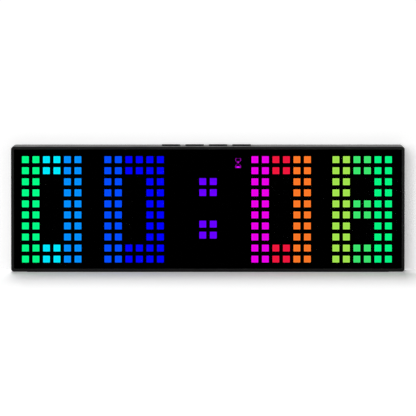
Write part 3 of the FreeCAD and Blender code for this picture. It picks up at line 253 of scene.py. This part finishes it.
def make_traces():
    """Copper runs under the solder mask, and tinned pads: stepped lines and rows of dots."""
    group, given, result = new_group(
        "board traces", {"Vector": None, "Pitch": 0.0012}, ["Trace", "Pad"])
    scale = math_node(group, "DIVIDE", 1.0, given["Pitch"])
    blocks = add(group, "ShaderNodeTexVoronoi", {
        "Vector": given["Vector"], "Scale": math_node(group, "MULTIPLY", scale, 0.16),
        "Randomness": 0.9}, distance="MANHATTAN", feature="F1")
    wave = math_node(group, "FRACT", math_node(group, "MULTIPLY", blocks.outputs["Distance"], 6.0))
    from_middle = math_node(group, "ABSOLUTE", math_node(group, "SUBTRACT", wave, 0.5))
    join(group, math_node(group, "LESS_THAN", from_middle, 0.2), result["Trace"])
    dots = add(group, "ShaderNodeTexVoronoi", {
        "Vector": given["Vector"], "Scale": math_node(group, "MULTIPLY", scale, 0.5),
        "Randomness": 0.75}, feature="F1")
    join(group, math_node(group, "LESS_THAN", dots.outputs["Distance"], 0.16), result["Pad"])
    return group


GRAIN = make_grain()
EDGE_WEAR_AND_HIGHLIGHT = make_edge_wear_and_highlight()
DUST = make_dust()
HANDLING = make_handling()
STREAKS = make_streaks()
GRID_DISTANCE = make_grid_distance()
TRACES = make_traces()


# ---------------------------------------------------------------------------------------------
# Finishes

def new_finish(name):
    """A new material, its node tree and its surface shader."""
    material = bpy.data.materials.new(name)
    material.use_nodes = True
    tree = material.node_tree
    return material, tree, tree.nodes["Principled BSDF"]


def bump(tree, surface, height, distance):
    """Feeds a height to the surface's normal. A height of 1 stands for a distance in metres."""
    node = add(tree, "ShaderNodeBump", {"Height": height, "Distance": distance})
    join(tree, node.outputs[0], surface.inputs["Normal"])


def give(material, *names):
    """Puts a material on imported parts."""
    for name in names:
        for slot in nodes[name].material_slots:
            slot.material = material


def moulded_black(name, shade, grain, depth, rough, gloss, wear, dust):
    """Black moulded plastic: spark-eroded grain, slow mottle, rubbed edges with a painted highlight, a
    trace of dust.

    Its shade is a very little bluish. The grain is the size of the cells, and depth their height.
    """
    black = (shade, shade, 1.04 * shade)
    material, tree, surface = new_finish(name)
    place = object_place(tree)
    texture = placed(tree, GRAIN, {"Vector": place, "Size": grain})
    rubbed = placed(tree, EDGE_WEAR_AND_HIGHLIGHT, {"Vector": place, "Width": 0.35 * MM, "Breakup": 700.0})["Wear"]
    film = placed(tree, DUST, {"Vector": place, "Amount": dust})["Dust"]
    smear = placed(tree, HANDLING, {"Vector": place, "Size": 14 * MM})["Smear"]
    plain = blended(tree, texture["Mottle"], tinted(black, 1.0), tinted(black, 1.35))
    # Lighter edges towards grey: partly rubbed wear, partly a painted highlight along rims and key
    # edges
    worn_and_highlit = blended(tree, math_node(tree, "MULTIPLY", rubbed, wear), plain, grey(0.06))
    join(tree, blended(tree, film, worn_and_highlit, grey(0.16)), surface.inputs["Base Color"])
    satin = ranged(tree, smear, 0.0, 1.0, rough + 0.04, rough - 0.05)
    polished = math_node(tree, "MULTIPLY_ADD", rubbed, -0.12, satin)
    join(tree, math_node(tree, "MULTIPLY_ADD", film, 0.3, polished), surface.inputs["Roughness"])
    surface.inputs["Specular IOR Level"].default_value = gloss
    bump(tree, surface, texture["Height"], depth)
    return material


# Index of the lens with its coating, which keeps reflections low
LENS_INDEX = 1.01

# Share of the light that passes the lens
LENS_PASS = 0.30


def smoked_lens():
    """Polished and coated smoked acrylic with faint smears."""
    material, tree, surface = new_finish("smoked_lens")
    smear = placed(tree, HANDLING, {"Vector": object_place(tree), "Size": 30 * MM})["Smear"]
    clean = (LENS_PASS, LENS_PASS, LENS_PASS + 0.01, 1)
    join(tree, blended(tree, smear, clean, tinted(clean, 0.95)), surface.inputs["Base Color"])
    join(tree, ranged(tree, smear, 0.0, 1.0, 0.0, 0.012), surface.inputs["Roughness"])
    surface.inputs["Transmission Weight"].default_value = 1.0
    surface.inputs["IOR"].default_value = LENS_INDEX
    return material


def black_print():
    """Matt black ink on film, with a faint orange-peel."""
    material, tree, surface = new_finish("black_print")
    peel = noise(tree, object_place(tree), 0.6 * MM, 3.0)
    join(tree, blended(tree, peel, grey(0.0015), grey(0.003)), surface.inputs["Base Color"])
    join(tree, ranged(tree, peel, 0.3, 0.7, 0.55, 0.7), surface.inputs["Roughness"])
    surface.inputs["Specular IOR Level"].default_value = 0.05
    bump(tree, surface, peel, 0.01 * MM)
    return material


def foam_tape():
    """Black double-sided tape: fine closed foam cells."""
    material, tree, surface = new_finish("tape")
    foam = placed(tree, GRAIN, {"Vector": object_place(tree), "Size": 0.15 * MM})
    join(tree, blended(tree, foam["Mottle"], grey(0.006), grey(0.01)), surface.inputs["Base Color"])
    join(tree, ranged(tree, foam["Height"], 0.2, 1.0, 0.7, 0.95), surface.inputs["Roughness"])
    surface.inputs["Specular IOR Level"].default_value = 0.2
    bump(tree, surface, foam["Height"], 0.03 * MM)
    return material


# Level of a lit tile's middle, where its painted brighter edges have 1
TILE_MIDDLE = 0.83

# How much the level of a lit tile varies with its flecks
FLECK_RANGE = 0.05


def tile_distances(tree, node):
    """Distances from the nearest tile's middle, on the grid that starts with a node's lowest tile."""
    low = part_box(node)[0]
    middle = (low[0] + TILE_SIDE / 2, low[1], low[2] + TILE_SIDE / 2)
    return placed(tree, GRID_DISTANCE, {"Vector": object_place(tree, middle)})


def tile_glow_with_painted_edges(tree, node):
    """Brightness over each tile of a node: painted a little brighter at its edges."""
    away = tile_distances(tree, node)["Square"]
    return ranged(tree, away, 0.27 * TILE_SIDE, 0.36 * TILE_SIDE, TILE_MIDDLE, 1.0)


def smoky_diffuser(name, shade):
    """Dull smoke-tinted plastic. Gives its material, tree and surface, and its fine flecks."""
    material, tree, surface = new_finish(name)
    flecks = noise(tree, object_place(tree), 0.25 * MM, 3.0)
    join(tree, blended(tree, flecks, grey(shade), grey(2 * shade)), surface.inputs["Base Color"])
    join(tree, ranged(tree, flecks, 0.0, 1.0, 0.5, 0.65), surface.inputs["Roughness"])
    surface.inputs["Specular IOR Level"].default_value = 0.05
    return material, tree, surface, flecks


def lit_diffuser(name, node, colour, glow):
    """A diffuser lit from behind, which shows its full colour through the lens."""
    material, tree, surface, flecks = smoky_diffuser(name, 0.003)
    darkest = math_node(tree, "SUBTRACT", glow(tree, node), FLECK_RANGE / 2)
    level = math_node(tree, "MULTIPLY_ADD", flecks, FLECK_RANGE, darkest)
    join(tree, blended(tree, level, grey(0.0), colour), surface.inputs["Emission Color"])
    surface.inputs["Emission Strength"].default_value = 1 / (LENS_PASS * TILE_MIDDLE)
    return material


def unlit_diffuser():
    """A diffuser with no light behind it."""
    material, tree, surface, flecks = smoky_diffuser("dark_tile", 0.0015)
    bump(tree, surface, flecks, 0.01 * MM)
    return material


def circuit_board(name, seed):
    """Green laminate: copper runs that show through the mask, and tinned pads.

    The seed moves the pattern, so that no two boards look the same.
    """
    material, tree, surface = new_finish(name)
    place = object_place(tree, (seed * MM, 2 * seed * MM, 3 * seed * MM))
    lines = placed(tree, TRACES, {"Vector": place})
    weave = noise(tree, place, 0.5 * MM, 2.0)
    mask = blended(tree, weave, (0.010, 0.085, 0.035, 1), (0.016, 0.115, 0.050, 1))
    runs = blended(tree, lines["Trace"], mask, (0.045, 0.190, 0.075, 1))
    join(tree, blended(tree, lines["Pad"], runs, (0.62, 0.60, 0.55, 1)), surface.inputs["Base Color"])
    join(tree, lines["Pad"], surface.inputs["Metallic"])
    join(tree, ranged(tree, weave, 0.2, 0.8, 0.28, 0.42), surface.inputs["Roughness"])
    raised = math_node(tree, "MAXIMUM", lines["Trace"], lines["Pad"])
    bump(tree, surface, raised, 0.03 * MM)
    return material


def diode_package():
    """White diode body with a pale yellow lens in its middle."""
    material, tree, surface = new_finish("led_white")
    away = tile_distances(tree, "digit_1_left_tiles")["Round"]
    dome = ranged(tree, away, 0.85 * MM, 0.75 * MM)
    speck = noise(tree, object_place(tree), 0.1 * MM)
    shell = blended(tree, speck, (0.78, 0.78, 0.76, 1), (0.86, 0.86, 0.84, 1))
    join(tree, blended(tree, dome, shell, (0.80, 0.68, 0.28, 1)), surface.inputs["Base Color"])
    join(tree, ranged(tree, dome, 0.0, 1.0, 0.45, 0.12), surface.inputs["Roughness"])
    bump(tree, surface, dome, 0.05 * MM)
    return material


def epoxy_chip(name, corner):
    """Moulded black epoxy with a small round dimple near one corner."""
    material, tree, surface = new_finish(name)
    texture = placed(tree, GRAIN, {"Vector": object_place(tree), "Size": 0.12 * MM})
    away = distance_from(tree, corner, (1, 0, 1))
    dimple = ranged(tree, away, 0.45 * MM, 0.35 * MM)
    body = blended(tree, texture["Mottle"], grey(0.014), grey(0.022))
    join(tree, blended(tree, dimple, body, grey(0.045)), surface.inputs["Base Color"])
    join(tree, ranged(tree, dimple, 0.0, 1.0, 0.62, 0.3), surface.inputs["Roughness"])
    sunk = math_node(tree, "MULTIPLY_ADD", dimple, -1.0, texture["Height"])
    bump(tree, surface, sunk, 0.02 * MM)
    return material


def plated_steel(name, colour, rough, axis_turn=(0, 0, 0)):
    """Nickel-plated steel: drawn lines along X or a turned axis, slow tarnish, bright edges."""
    material, tree, surface = new_finish(name)
    place = object_place(tree)
    turned = add(tree, "ShaderNodeMapping", {"Vector": place, "Rotation": axis_turn}).outputs[0]
    streak = placed(tree, STREAKS, {"Vector": turned, "Size": 0.15 * MM})["Streak"]
    tarnish = noise(tree, place, 3 * MM, 5.0)
    rubbed = placed(tree, EDGE_WEAR_AND_HIGHLIGHT, {"Vector": place, "Width": 0.15 * MM, "Breakup": 2500.0})["Wear"]
    plated = blended(tree, ranged(tree, tarnish, 0.45, 0.7), colour, tinted(colour, 0.7))
    join(tree, blended(tree, rubbed, plated, tinted(colour, 1.2)), surface.inputs["Base Color"])
    surface.inputs["Metallic"].default_value = 1.0
    join(tree, ranged(tree, streak, 0.0, 1.0, rough - 0.07, rough + 0.09), surface.inputs["Roughness"])
    bump(tree, surface, streak, 0.004 * MM)
    return material


def black_zinc(name, rough):
    """Black zinc on steel, rubbed to bare metal along the edges of heads and recesses."""
    material, tree, surface = new_finish(name)
    place = object_place(tree)
    rubbed = placed(tree, EDGE_WEAR_AND_HIGHLIGHT, {"Vector": place, "Width": 0.25 * MM, "Breakup": 1800.0})["Wear"]
    cloud = noise(tree, place, 0.8 * MM, 4.0)
    coat = blended(tree, cloud, (0.020, 0.020, 0.021, 1), (0.045, 0.045, 0.050, 1))
    join(tree, blended(tree, rubbed, coat, (0.42, 0.42, 0.43, 1)), surface.inputs["Base Color"])
    join(tree, ranged(tree, rubbed, 0.0, 0.6, 0.55, 1.0), surface.inputs["Metallic"])
    join(tree, ranged(tree, cloud, 0.3, 0.7, rough - 0.06, rough + 0.08), surface.inputs["Roughness"])
    bump(tree, surface, cloud, 0.01 * MM)
    return material


def soft_rubber():
    """Black rubber: dull, mottled and finely pitted."""
    material, tree, surface = new_finish("rubber_black")
    texture = placed(tree, GRAIN, {"Vector": object_place(tree), "Size": 0.25 * MM})
    join(tree, blended(tree, texture["Mottle"], grey(0.012), grey(0.028)), surface.inputs["Base Color"])
    join(tree, ranged(tree, texture["Height"], 0.2, 1.0, 0.75, 0.92), surface.inputs["Roughness"])
    bump(tree, surface, texture["Height"], 0.03 * MM)
    return material


def natural_nylon():
    """Cream nylon connector: slightly waxy, with a faint flow mottle."""
    material, tree, surface = new_finish("connector_white")
    flow = noise(tree, object_place(tree), 1.5 * MM, 4.0)
    join(tree, blended(tree, flow, (0.70, 0.68, 0.60, 1), (0.80, 0.78, 0.71, 1)),
         surface.inputs["Base Color"])
    join(tree, ranged(tree, flow, 0.3, 0.7, 0.38, 0.52), surface.inputs["Roughness"])
    bump(tree, surface, flow, 0.02 * MM)
    return material


def ribbed_ribbon():
    """Flat grey lead: round wires side by side with painted shade between them, the first one marked
    red.
    """
    material, tree, surface = new_finish("ribbon_grey")
    low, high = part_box("display_ribbon")
    wires = 12
    pitch = (high[0] - low[0]) / wires
    across = distance_along_x(tree, low[0])
    wave = math_node(tree, "SINE", math_node(tree, "MULTIPLY", across, math.pi / pitch))
    ridge = math_node(tree, "ABSOLUTE", wave)
    first = math_node(tree, "LESS_THAN", across, pitch)
    # Painted shade: darker in the grooves between the wires, lighter along their crests
    grey_with_painted_groove_shade = blended(tree, ridge, grey(0.17), grey(0.36))
    join(tree, blended(tree, first, grey_with_painted_groove_shade, (0.35, 0.03, 0.025, 1)), surface.inputs["Base Color"])
    join(tree, ranged(tree, ridge, 0.0, 1.0, 0.6, 0.42), surface.inputs["Roughness"])
    bump(tree, surface, ridge, 0.3 * MM)
    return material


def pressed_paper():
    """Black paper cone: felted fibres, and rings pressed round its middle."""
    material, tree, surface = new_finish("paper_black")
    low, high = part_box("speaker_cone")
    centre = [(start + end) / 2 for start, end in zip(low, high)]
    fibres = noise(tree, object_place(tree, centre), 0.35 * MM, 6.0, 0.7)
    away = distance_from(tree, centre, (1, 0, 1))
    ring_pitch = 1.6 * MM
    rings = math_node(tree, "SINE", math_node(tree, "MULTIPLY", away, 2 * math.pi / ring_pitch))
    join(tree, blended(tree, fibres, grey(0.018), grey(0.05)), surface.inputs["Base Color"])
    join(tree, ranged(tree, fibres, 0.3, 0.7, 0.8, 0.95), surface.inputs["Roughness"])
    bump(tree, surface, math_node(tree, "MULTIPLY_ADD", rings, 0.6, fibres), 0.08 * MM)
    return material


def ferrite_magnet():
    """Dark sintered ferrite with small chips along its edges."""
    material, tree, surface = new_finish("magnet_grey")
    place = object_place(tree)
    chips = placed(tree, EDGE_WEAR_AND_HIGHLIGHT, {"Vector": place, "Width": 0.4 * MM, "Breakup": 900.0})["Wear"]
    grit = noise(tree, place, 0.2 * MM, 5.0, 0.7)
    body = blended(tree, grit, grey(0.045), grey(0.085))
    join(tree, blended(tree, chips, body, grey(0.16)), surface.inputs["Base Color"])
    join(tree, ranged(tree, grit, 0.3, 0.7, 0.5, 0.7), surface.inputs["Roughness"])
    bump(tree, surface, grit, 0.03 * MM)
    return material


def cell_sleeve(name, node, plus_end):
    """Battery cell: dark green sleeve, copper-coloured band at its plus end, bare metal ends.

    The places of the band and of the sleeve are shares of the cell's length.
    """
    material, tree, surface = new_finish(name)
    low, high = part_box(node)
    along = math_node(tree, "DIVIDE", distance_along_x(tree, low[0]), high[0] - low[0])
    if plus_end == "left":
        along = math_node(tree, "SUBTRACT", 1.0, along)
    band_start, sleeve_middle, sleeve_half = 0.74, 0.491, 0.4795
    band = math_node(tree, "GREATER_THAN", along, band_start)
    from_middle = math_node(tree, "ABSOLUTE", math_node(tree, "SUBTRACT", along, sleeve_middle))
    rim = math_node(tree, "GREATER_THAN", from_middle, sleeve_half)
    scuff = noise(tree, object_place(tree, stretch=(0.3, 1, 1)), 0.5 * MM, 5.0, 0.65)
    green = blended(tree, scuff, (0.012, 0.070, 0.030, 1), (0.020, 0.095, 0.042, 1))
    copper = blended(tree, scuff, (0.42, 0.22, 0.09, 1), (0.50, 0.27, 0.12, 1))
    sleeve = blended(tree, band, green, copper)
    join(tree, blended(tree, rim, sleeve, (0.62, 0.62, 0.61, 1)), surface.inputs["Base Color"])
    join(tree, math_node(tree, "MAXIMUM", rim, math_node(tree, "MULTIPLY", band, 0.8)),
         surface.inputs["Metallic"])
    join(tree, ranged(tree, scuff, 0.3, 0.7, 0.24, 0.4), surface.inputs["Roughness"])
    bump(tree, surface, scuff, 0.004 * MM)
    return material


def wire_cover(name, colour):
    """Soft plastic insulation with small scuffs."""
    material, tree, surface = new_finish(name)
    scuff = noise(tree, object_place(tree), 0.5 * MM, 4.0)
    join(tree, blended(tree, scuff, colour, tinted(colour, 1.3, 0.01)), surface.inputs["Base Color"])
    join(tree, ranged(tree, scuff, 0.3, 0.7, 0.36, 0.5), surface.inputs["Roughness"])
    bump(tree, surface, scuff, 0.01 * MM)
    return material


# ---------------------------------------------------------------------------------------------
# Dressing the parts

def of_each_key(name):
    """The nodes that every key has, such as its switch."""
    return [f"{name}_{index}" for index in KEYS]


def dress_case():
    """Finishes of the shells, door, keys, light grid, feet and screws."""
    case = moulded_black("case_black", shade=0.0028, grain=0.22 * MM, depth=0.006 * MM,
                         rough=0.42, gloss=0.19, wear=0.3, dust=0.02)
    cover = moulded_black("cover_black", shade=0.0060, grain=0.55 * MM, depth=0.030 * MM,
                          rough=0.55, gloss=0.30, wear=0.5, dust=0.025)
    door = moulded_black("door_black", shade=0.0055, grain=0.55 * MM, depth=0.030 * MM,
                         rough=0.52, gloss=0.30, wear=0.7, dust=0.025)
    keys = moulded_black("button_black", shade=0.0020, grain=0.16 * MM, depth=0.004 * MM,
                         rough=0.36, gloss=0.10, wear=0.15, dust=0.015)
    grid = moulded_black("grid_black", shade=0.0060, grain=0.30 * MM, depth=0.010 * MM,
                         rough=0.70, gloss=0.20, wear=0.2, dust=0.0)
    give(case, "front_housing")
    give(cover, "rear_cover")
    give(door, "battery_door")
    give(keys, *of_each_key("button"), *of_each_key("switch_plunger"))
    give(grid, "light_grid")
    give(soft_rubber(), "rubber_feet")
    give(black_zinc("screw_black", 0.38), "cover_screws")


# Finish and display levels of each lit stroke, and display levels of the symbol
LIT_STROKES = {
    "digit_1_left": ("light_mint", (3, 252, 132)),
    "digit_1_middle": ("light_cyan", (0, 232, 250)),
    "digit_1_right": ("light_sky", (3, 141, 250)),
    "digit_2_left": ("light_azure", (2, 76, 250)),
    "digit_2_middle": ("light_blue_middle", (2, 2, 250)),
    "digit_2_right": ("light_blue_right", (2, 2, 250)),
    "digit_3_left": ("light_magenta", (234, 1, 228)),
    "digit_3_middle": ("light_red", (239, 23, 59)),
    "digit_3_right": ("light_orange", (250, 119, 38)),
    "digit_4_left": ("light_lime", (161, 226, 76)),
    "digit_4_middle": ("light_green", (58, 229, 107)),
    "digit_4_right": ("light_spring", (3, 245, 127)),
    "colon": ("light_violet", (102, 1, 252)),
}
SYMBOL_LEVELS = (205, 2, 232)

# The symbol's two bright spots, its neck and its sand: share of its height at which each sits,
# how far it reaches up, its level, and how much it is flattened
SYMBOL_SPOTS = ((0.59, 0.60 * MM, 0.40, 1.0), (0.105, 0.45 * MM, 0.79, 0.4))


def symbol_glow(tree, node):
    """Brightness of the timer symbol: bright side walls, and a spot at its neck and in its foot."""
    low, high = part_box(node)
    middle, half = (low[0] + high[0]) / 2, (high[0] - low[0]) / 2
    across = distance_from(tree, (middle, 0, 0), (1, 0, 0))
    level = ranged(tree, across, 0.35 * half, 0.9 * half, 0.05, 0.28)
    for share, reach, peak, squeeze in SYMBOL_SPOTS:
        spot = (middle, 0, low[2] + share * (high[2] - low[2]))
        away = distance_from(tree, spot, (squeeze, 0, 1))
        level = math_node(tree, "ADD", level, ranged(tree, away, reach, 0.2 * MM, 0.0, peak))
    return level


def dress_display():
    """Finishes of the lens, tape, film, tiles, symbol and diodes."""
    give(smoked_lens(), "front_lens")
    give(foam_tape(), "lens_tape")
    give(black_print(), "mask_film")
    give(unlit_diffuser(), "dark_tiles")
    for stroke, (name, levels) in LIT_STROKES.items():
        node = f"{stroke}_tiles"
        give(lit_diffuser(name, node, linear(*levels), tile_glow_with_painted_edges), node)
    give(lit_diffuser("light_purple", "timer_icon", linear(*SYMBOL_LEVELS), symbol_glow), "timer_icon")
    give(diode_package(), "pixel_leds")


def corner_of(node, inset):
    """A point set in from a node's upper left corner."""
    low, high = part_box(node)
    return (low[0] + inset, low[1], high[2] - inset)


def dress_boards():
    """Finishes of the boards, what stands on them, and what joins them."""
    for seed, node in enumerate(("led_board", "main_board", "button_board")):
        give(circuit_board(f"circuit_board_{seed + 1}", seed), node)
    for node in ("microcontroller", "sound_chip", "driver_chips"):
        give(epoxy_chip(f"chip_{node}", corner_of(node, 1.0 * MM)), node)
    give(epoxy_chip("switch_shell", corner_of("switch_body_1", 0.8 * MM)), *of_each_key("switch_body"))
    give(plated_steel("tin", (0.66, 0.66, 0.67, 1), 0.24, (0, 0, math.pi / 2)),
         "clock_crystal", "capacitors")
    give(plated_steel("steel", (0.55, 0.55, 0.57, 1), 0.28),
         "board_screws", "power_socket", "contact_plates", "contact_springs")
    give(natural_nylon(), "ribbon_connectors")
    give(ribbed_ribbon(), "display_ribbon")
    give(wire_cover("wire_red", (0.42, 0.015, 0.012, 1)), "battery_leads")
    give(wire_cover("wire_black", (0.018, 0.018, 0.018, 1)), "speaker_leads")


def dress_speaker_and_cells():
    """Finishes of the speaker and of the cells, whose plus ends alternate."""
    give(black_zinc("speaker_basket", 0.5), "speaker_frame")
    give(pressed_paper(), "speaker_cone")
    give(ferrite_magnet(), "speaker_magnet")
    for index, plus_end in enumerate(("right", "left", "right"), start=1):
        node = f"battery_cell_{index}"
        give(cell_sleeve(f"cell_sleeve_{index}", node, plus_end), node)


dress_case()
dress_display()
dress_boards()
dress_speaker_and_cells()


# ---------------------------------------------------------------------------------------------
# Stage

# The paper's painted lift of brightness near the clock and far from it, and the distances between
# which it grows
NEAR_LIFT, FAR_LIFT = 0.35, 0.70
LIFT_START, LIFT_END = 0.2, 0.9

# Painted shade on the floor at the foot of the clock's right side, where the clock hides the room:
# the spot, the radii between which the lift comes back, and the share of it that the middle keeps
PAINTED_SHADE_SPOT = (0.101, 0.016, 0)
PAINTED_SHADE_INNER, PAINTED_SHADE_OUTER = 10 * MM, 30 * MM
PAINTED_SHADE_SHARE = 0.3

# Gap between the clock's back and the sheet of paper behind it
SHEET_GAP = 1.5 * MM

# Brightness of the room behind the camera, where it is mirrored
ROOM_SHADE = 0.3

# The camera's place, the point that it looks at, and its focal length in millimetres
CAMERA_PLACE = (0, -3.018, 0.1561)
CAMERA_AIM = (0.000086, -0.018, 0.03295)
CAMERA_LENS = 511.0


def flat_sheet(name, corners, material):
    """One square of four corners that isn't part of the object."""
    mesh = bpy.data.meshes.new(name)
    mesh.from_pydata(corners, [], [(0, 1, 2, 3)])
    sheet = bpy.data.objects.new(name, mesh)
    bpy.context.scene.collection.objects.link(sheet)
    mesh.materials.append(material)
    return sheet


def background_rays(tree):
    """One for rays that look at the background, straight, mirrored or through glass."""
    path = add(tree, "ShaderNodeLightPath").outputs
    mirrored = math_node(tree, "MAXIMUM", path["Is Camera Ray"], path["Is Glossy Ray"])
    return math_node(tree, "MAXIMUM", mirrored, path["Is Transmission Ray"])


def white_paper(name, one_sided=False, painted_shade_at=None):
    """Pale paper that shows white where nothing shades it, and keeps the object's shadow.

    Its painted lift of brightness is least near the clock and grows away from it. It is mostly lost
    round a given spot, as painted shade.
    """
    material, tree, surface = new_finish(name)
    fibre = noise(tree, object_place(tree), 1.5 * MM, 3.0)
    join(tree, blended(tree, fibre, grey(0.80), grey(0.82)), surface.inputs["Base Color"])
    surface.inputs["Roughness"].default_value = 0.9
    surface.inputs["Specular IOR Level"].default_value = 0.0
    surface.inputs["Emission Color"].default_value = grey(1.0)
    # Painted brightness, least near the clock and growing away from it; only rays that look at the
    # background see it
    lift = ranged(tree, distance_from(tree), LIFT_START, LIFT_END, NEAR_LIFT, FAR_LIFT)
    if painted_shade_at is not None:
        # Painted shade: round the spot the lift is mostly lost
        away = distance_from(tree, painted_shade_at)
        unshaded_share = ranged(tree, away, PAINTED_SHADE_INNER, PAINTED_SHADE_OUTER, PAINTED_SHADE_SHARE, 1.0)
        lift = math_node(tree, "MULTIPLY", lift, unshaded_share)
    join(tree, math_node(tree, "MULTIPLY", background_rays(tree), lift),
         surface.inputs["Emission Strength"])
    if one_sided:
        behind = add(tree, "ShaderNodeNewGeometry").outputs["Backfacing"]
        open_side = add(tree, "ShaderNodeBsdfTransparent").outputs[0]
        shown = add(tree, "ShaderNodeMixShader", {0: behind, 1: surface.outputs[0], 2: open_side})
        join(tree, shown.outputs[0], tree.nodes["Material Output"].inputs["Surface"])
    return material


def make_stage():
    """A pale floor, and a sheet of the same paper that stands close behind the clock."""
    reach = 6.0
    ground = [(-reach, -reach, 0), (reach, -reach, 0), (reach, reach, 0), (-reach, reach, 0)]
    floor = flat_sheet("floor", ground, white_paper("floor_paper", painted_shade_at=PAINTED_SHADE_SPOT))
    floor.visible_diffuse = False
    floor.visible_shadow = False
    half, height = 0.45, 0.45
    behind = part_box("rear_cover")[1][1] + SHEET_GAP
    upright = [(-half, behind, 0), (half, behind, 0), (half, behind, height), (-half, behind, height)]
    sheet = flat_sheet("back_sheet", upright, white_paper("sheet_paper", one_sided=True))
    sheet.visible_shadow = False
    sheet.visible_diffuse = False
    sheet.visible_glossy = False
    sheet.visible_transmission = False
    return floor, sheet


def turned_to(place, aim):
    """The turn of a lamp or camera that looks from its place to a point."""
    return (Vector(aim) - Vector(place)).to_track_quat("-Z", "Y").to_euler()


def soft_lamp(name, place, aim, size, watts, shape="RECTANGLE"):
    """A soft lamp at a place, turned to its aim, that no camera, mirror or glass shows."""
    lamp = bpy.data.lights.new(name, "AREA")
    lamp.shape = shape
    lamp.size, lamp.size_y = size
    lamp.energy = watts
    holder = bpy.data.objects.new(name, lamp)
    holder.location = place
    holder.rotation_euler = turned_to(place, aim)
    holder.visible_camera = False
    holder.visible_glossy = False
    holder.visible_transmission = False
    bpy.context.scene.collection.objects.link(holder)
    return holder


def make_world():
    """White where it is seen, darker where the room behind the camera is mirrored, and no lamp."""
    world = bpy.data.worlds.new("studio")
    world.use_nodes = True
    tree = world.node_tree
    background = tree.nodes["Background"]
    seen = background_rays(tree)
    mirrored = add(tree, "ShaderNodeLightPath").outputs["Is Glossy Ray"]
    direction = add(tree, "ShaderNodeTexCoord").outputs["Generated"]
    depth = add(tree, "ShaderNodeSeparateXYZ", {0: direction}).outputs["Y"]
    shade = ranged(tree, depth, -0.5, 0.1, ROOM_SHADE, 1.0)
    mirror_level = math_node(tree, "MULTIPLY", mirrored, math_node(tree, "SUBTRACT", shade, 1.0))
    join(tree, math_node(tree, "MULTIPLY", seen, math_node(tree, "ADD", mirror_level, 1.0)),
         background.inputs["Strength"])
    background.inputs["Color"].default_value = grey(1.0)
    bpy.context.scene.world = world


def make_lamps(stage_pieces):
    """Two lamps by the camera, three strips behind the clock, and fills for the clock alone."""
    centre, foot = (0, 0, 0.032), (0, 0, 0)
    soft_lamp("front_lamp", (-0.37, -3.2, 0.39), centre, (0.83, 0.83), 53, "DISK")
    soft_lamp("front_wash", (0, -3.2, 0.04), centre, (1.6, 1.6), 36, "DISK")
    soft_lamp("low_strip", (-0.16, 4.24, 2.24), foot, (0.72, 1.36), 158)
    soft_lamp("middle_strip", (-0.30, 3.66, 3.66), foot, (0.90, 1.30), 95)
    soft_lamp("high_strip", (-0.80, 2.10, 4.70), foot, (1.60, 2.20), 80)
    kept_dark = bpy.data.collections.new("not_filled")
    for piece in stage_pieces:
        kept_dark.objects.link(piece)
    for entry in kept_dark.collection_objects:
        entry.light_linking.link_state = "EXCLUDE"
    fills = {
        "top_fill": ((0, -0.2, 1.6), (1.2, 1.2), 16),
        "left_fill": ((-1.5, 0, 0.5), (1.0, 1.0), 14),
        "right_fill": ((1.5, 0, 0.5), (1.0, 1.0), 14),
        "back_fill": ((0.3, 1.6, 0.6), (1.2, 1.0), 16),
    }
    for name, (place, size, watts) in fills.items():
        lamp = soft_lamp(name, place, centre, size, watts)
        lamp.light_linking.receiver_collection = kept_dark


def make_camera():
    """A long lens three metres in front, a little above the clock and looking slightly down."""
    data = bpy.data.cameras.new("camera")
    data.sensor_width = 36.0
    data.lens = CAMERA_LENS
    data.clip_start, data.clip_end = 0.1, 50.0
    camera = bpy.data.objects.new("camera", data)
    camera.location = CAMERA_PLACE
    camera.rotation_euler = turned_to(CAMERA_PLACE, CAMERA_AIM)
    bpy.context.scene.collection.objects.link(camera)
    bpy.context.scene.camera = camera


make_lamps(make_stage())
make_world()
make_camera()
bpy.context.scene.view_settings.view_transform = "Standard"
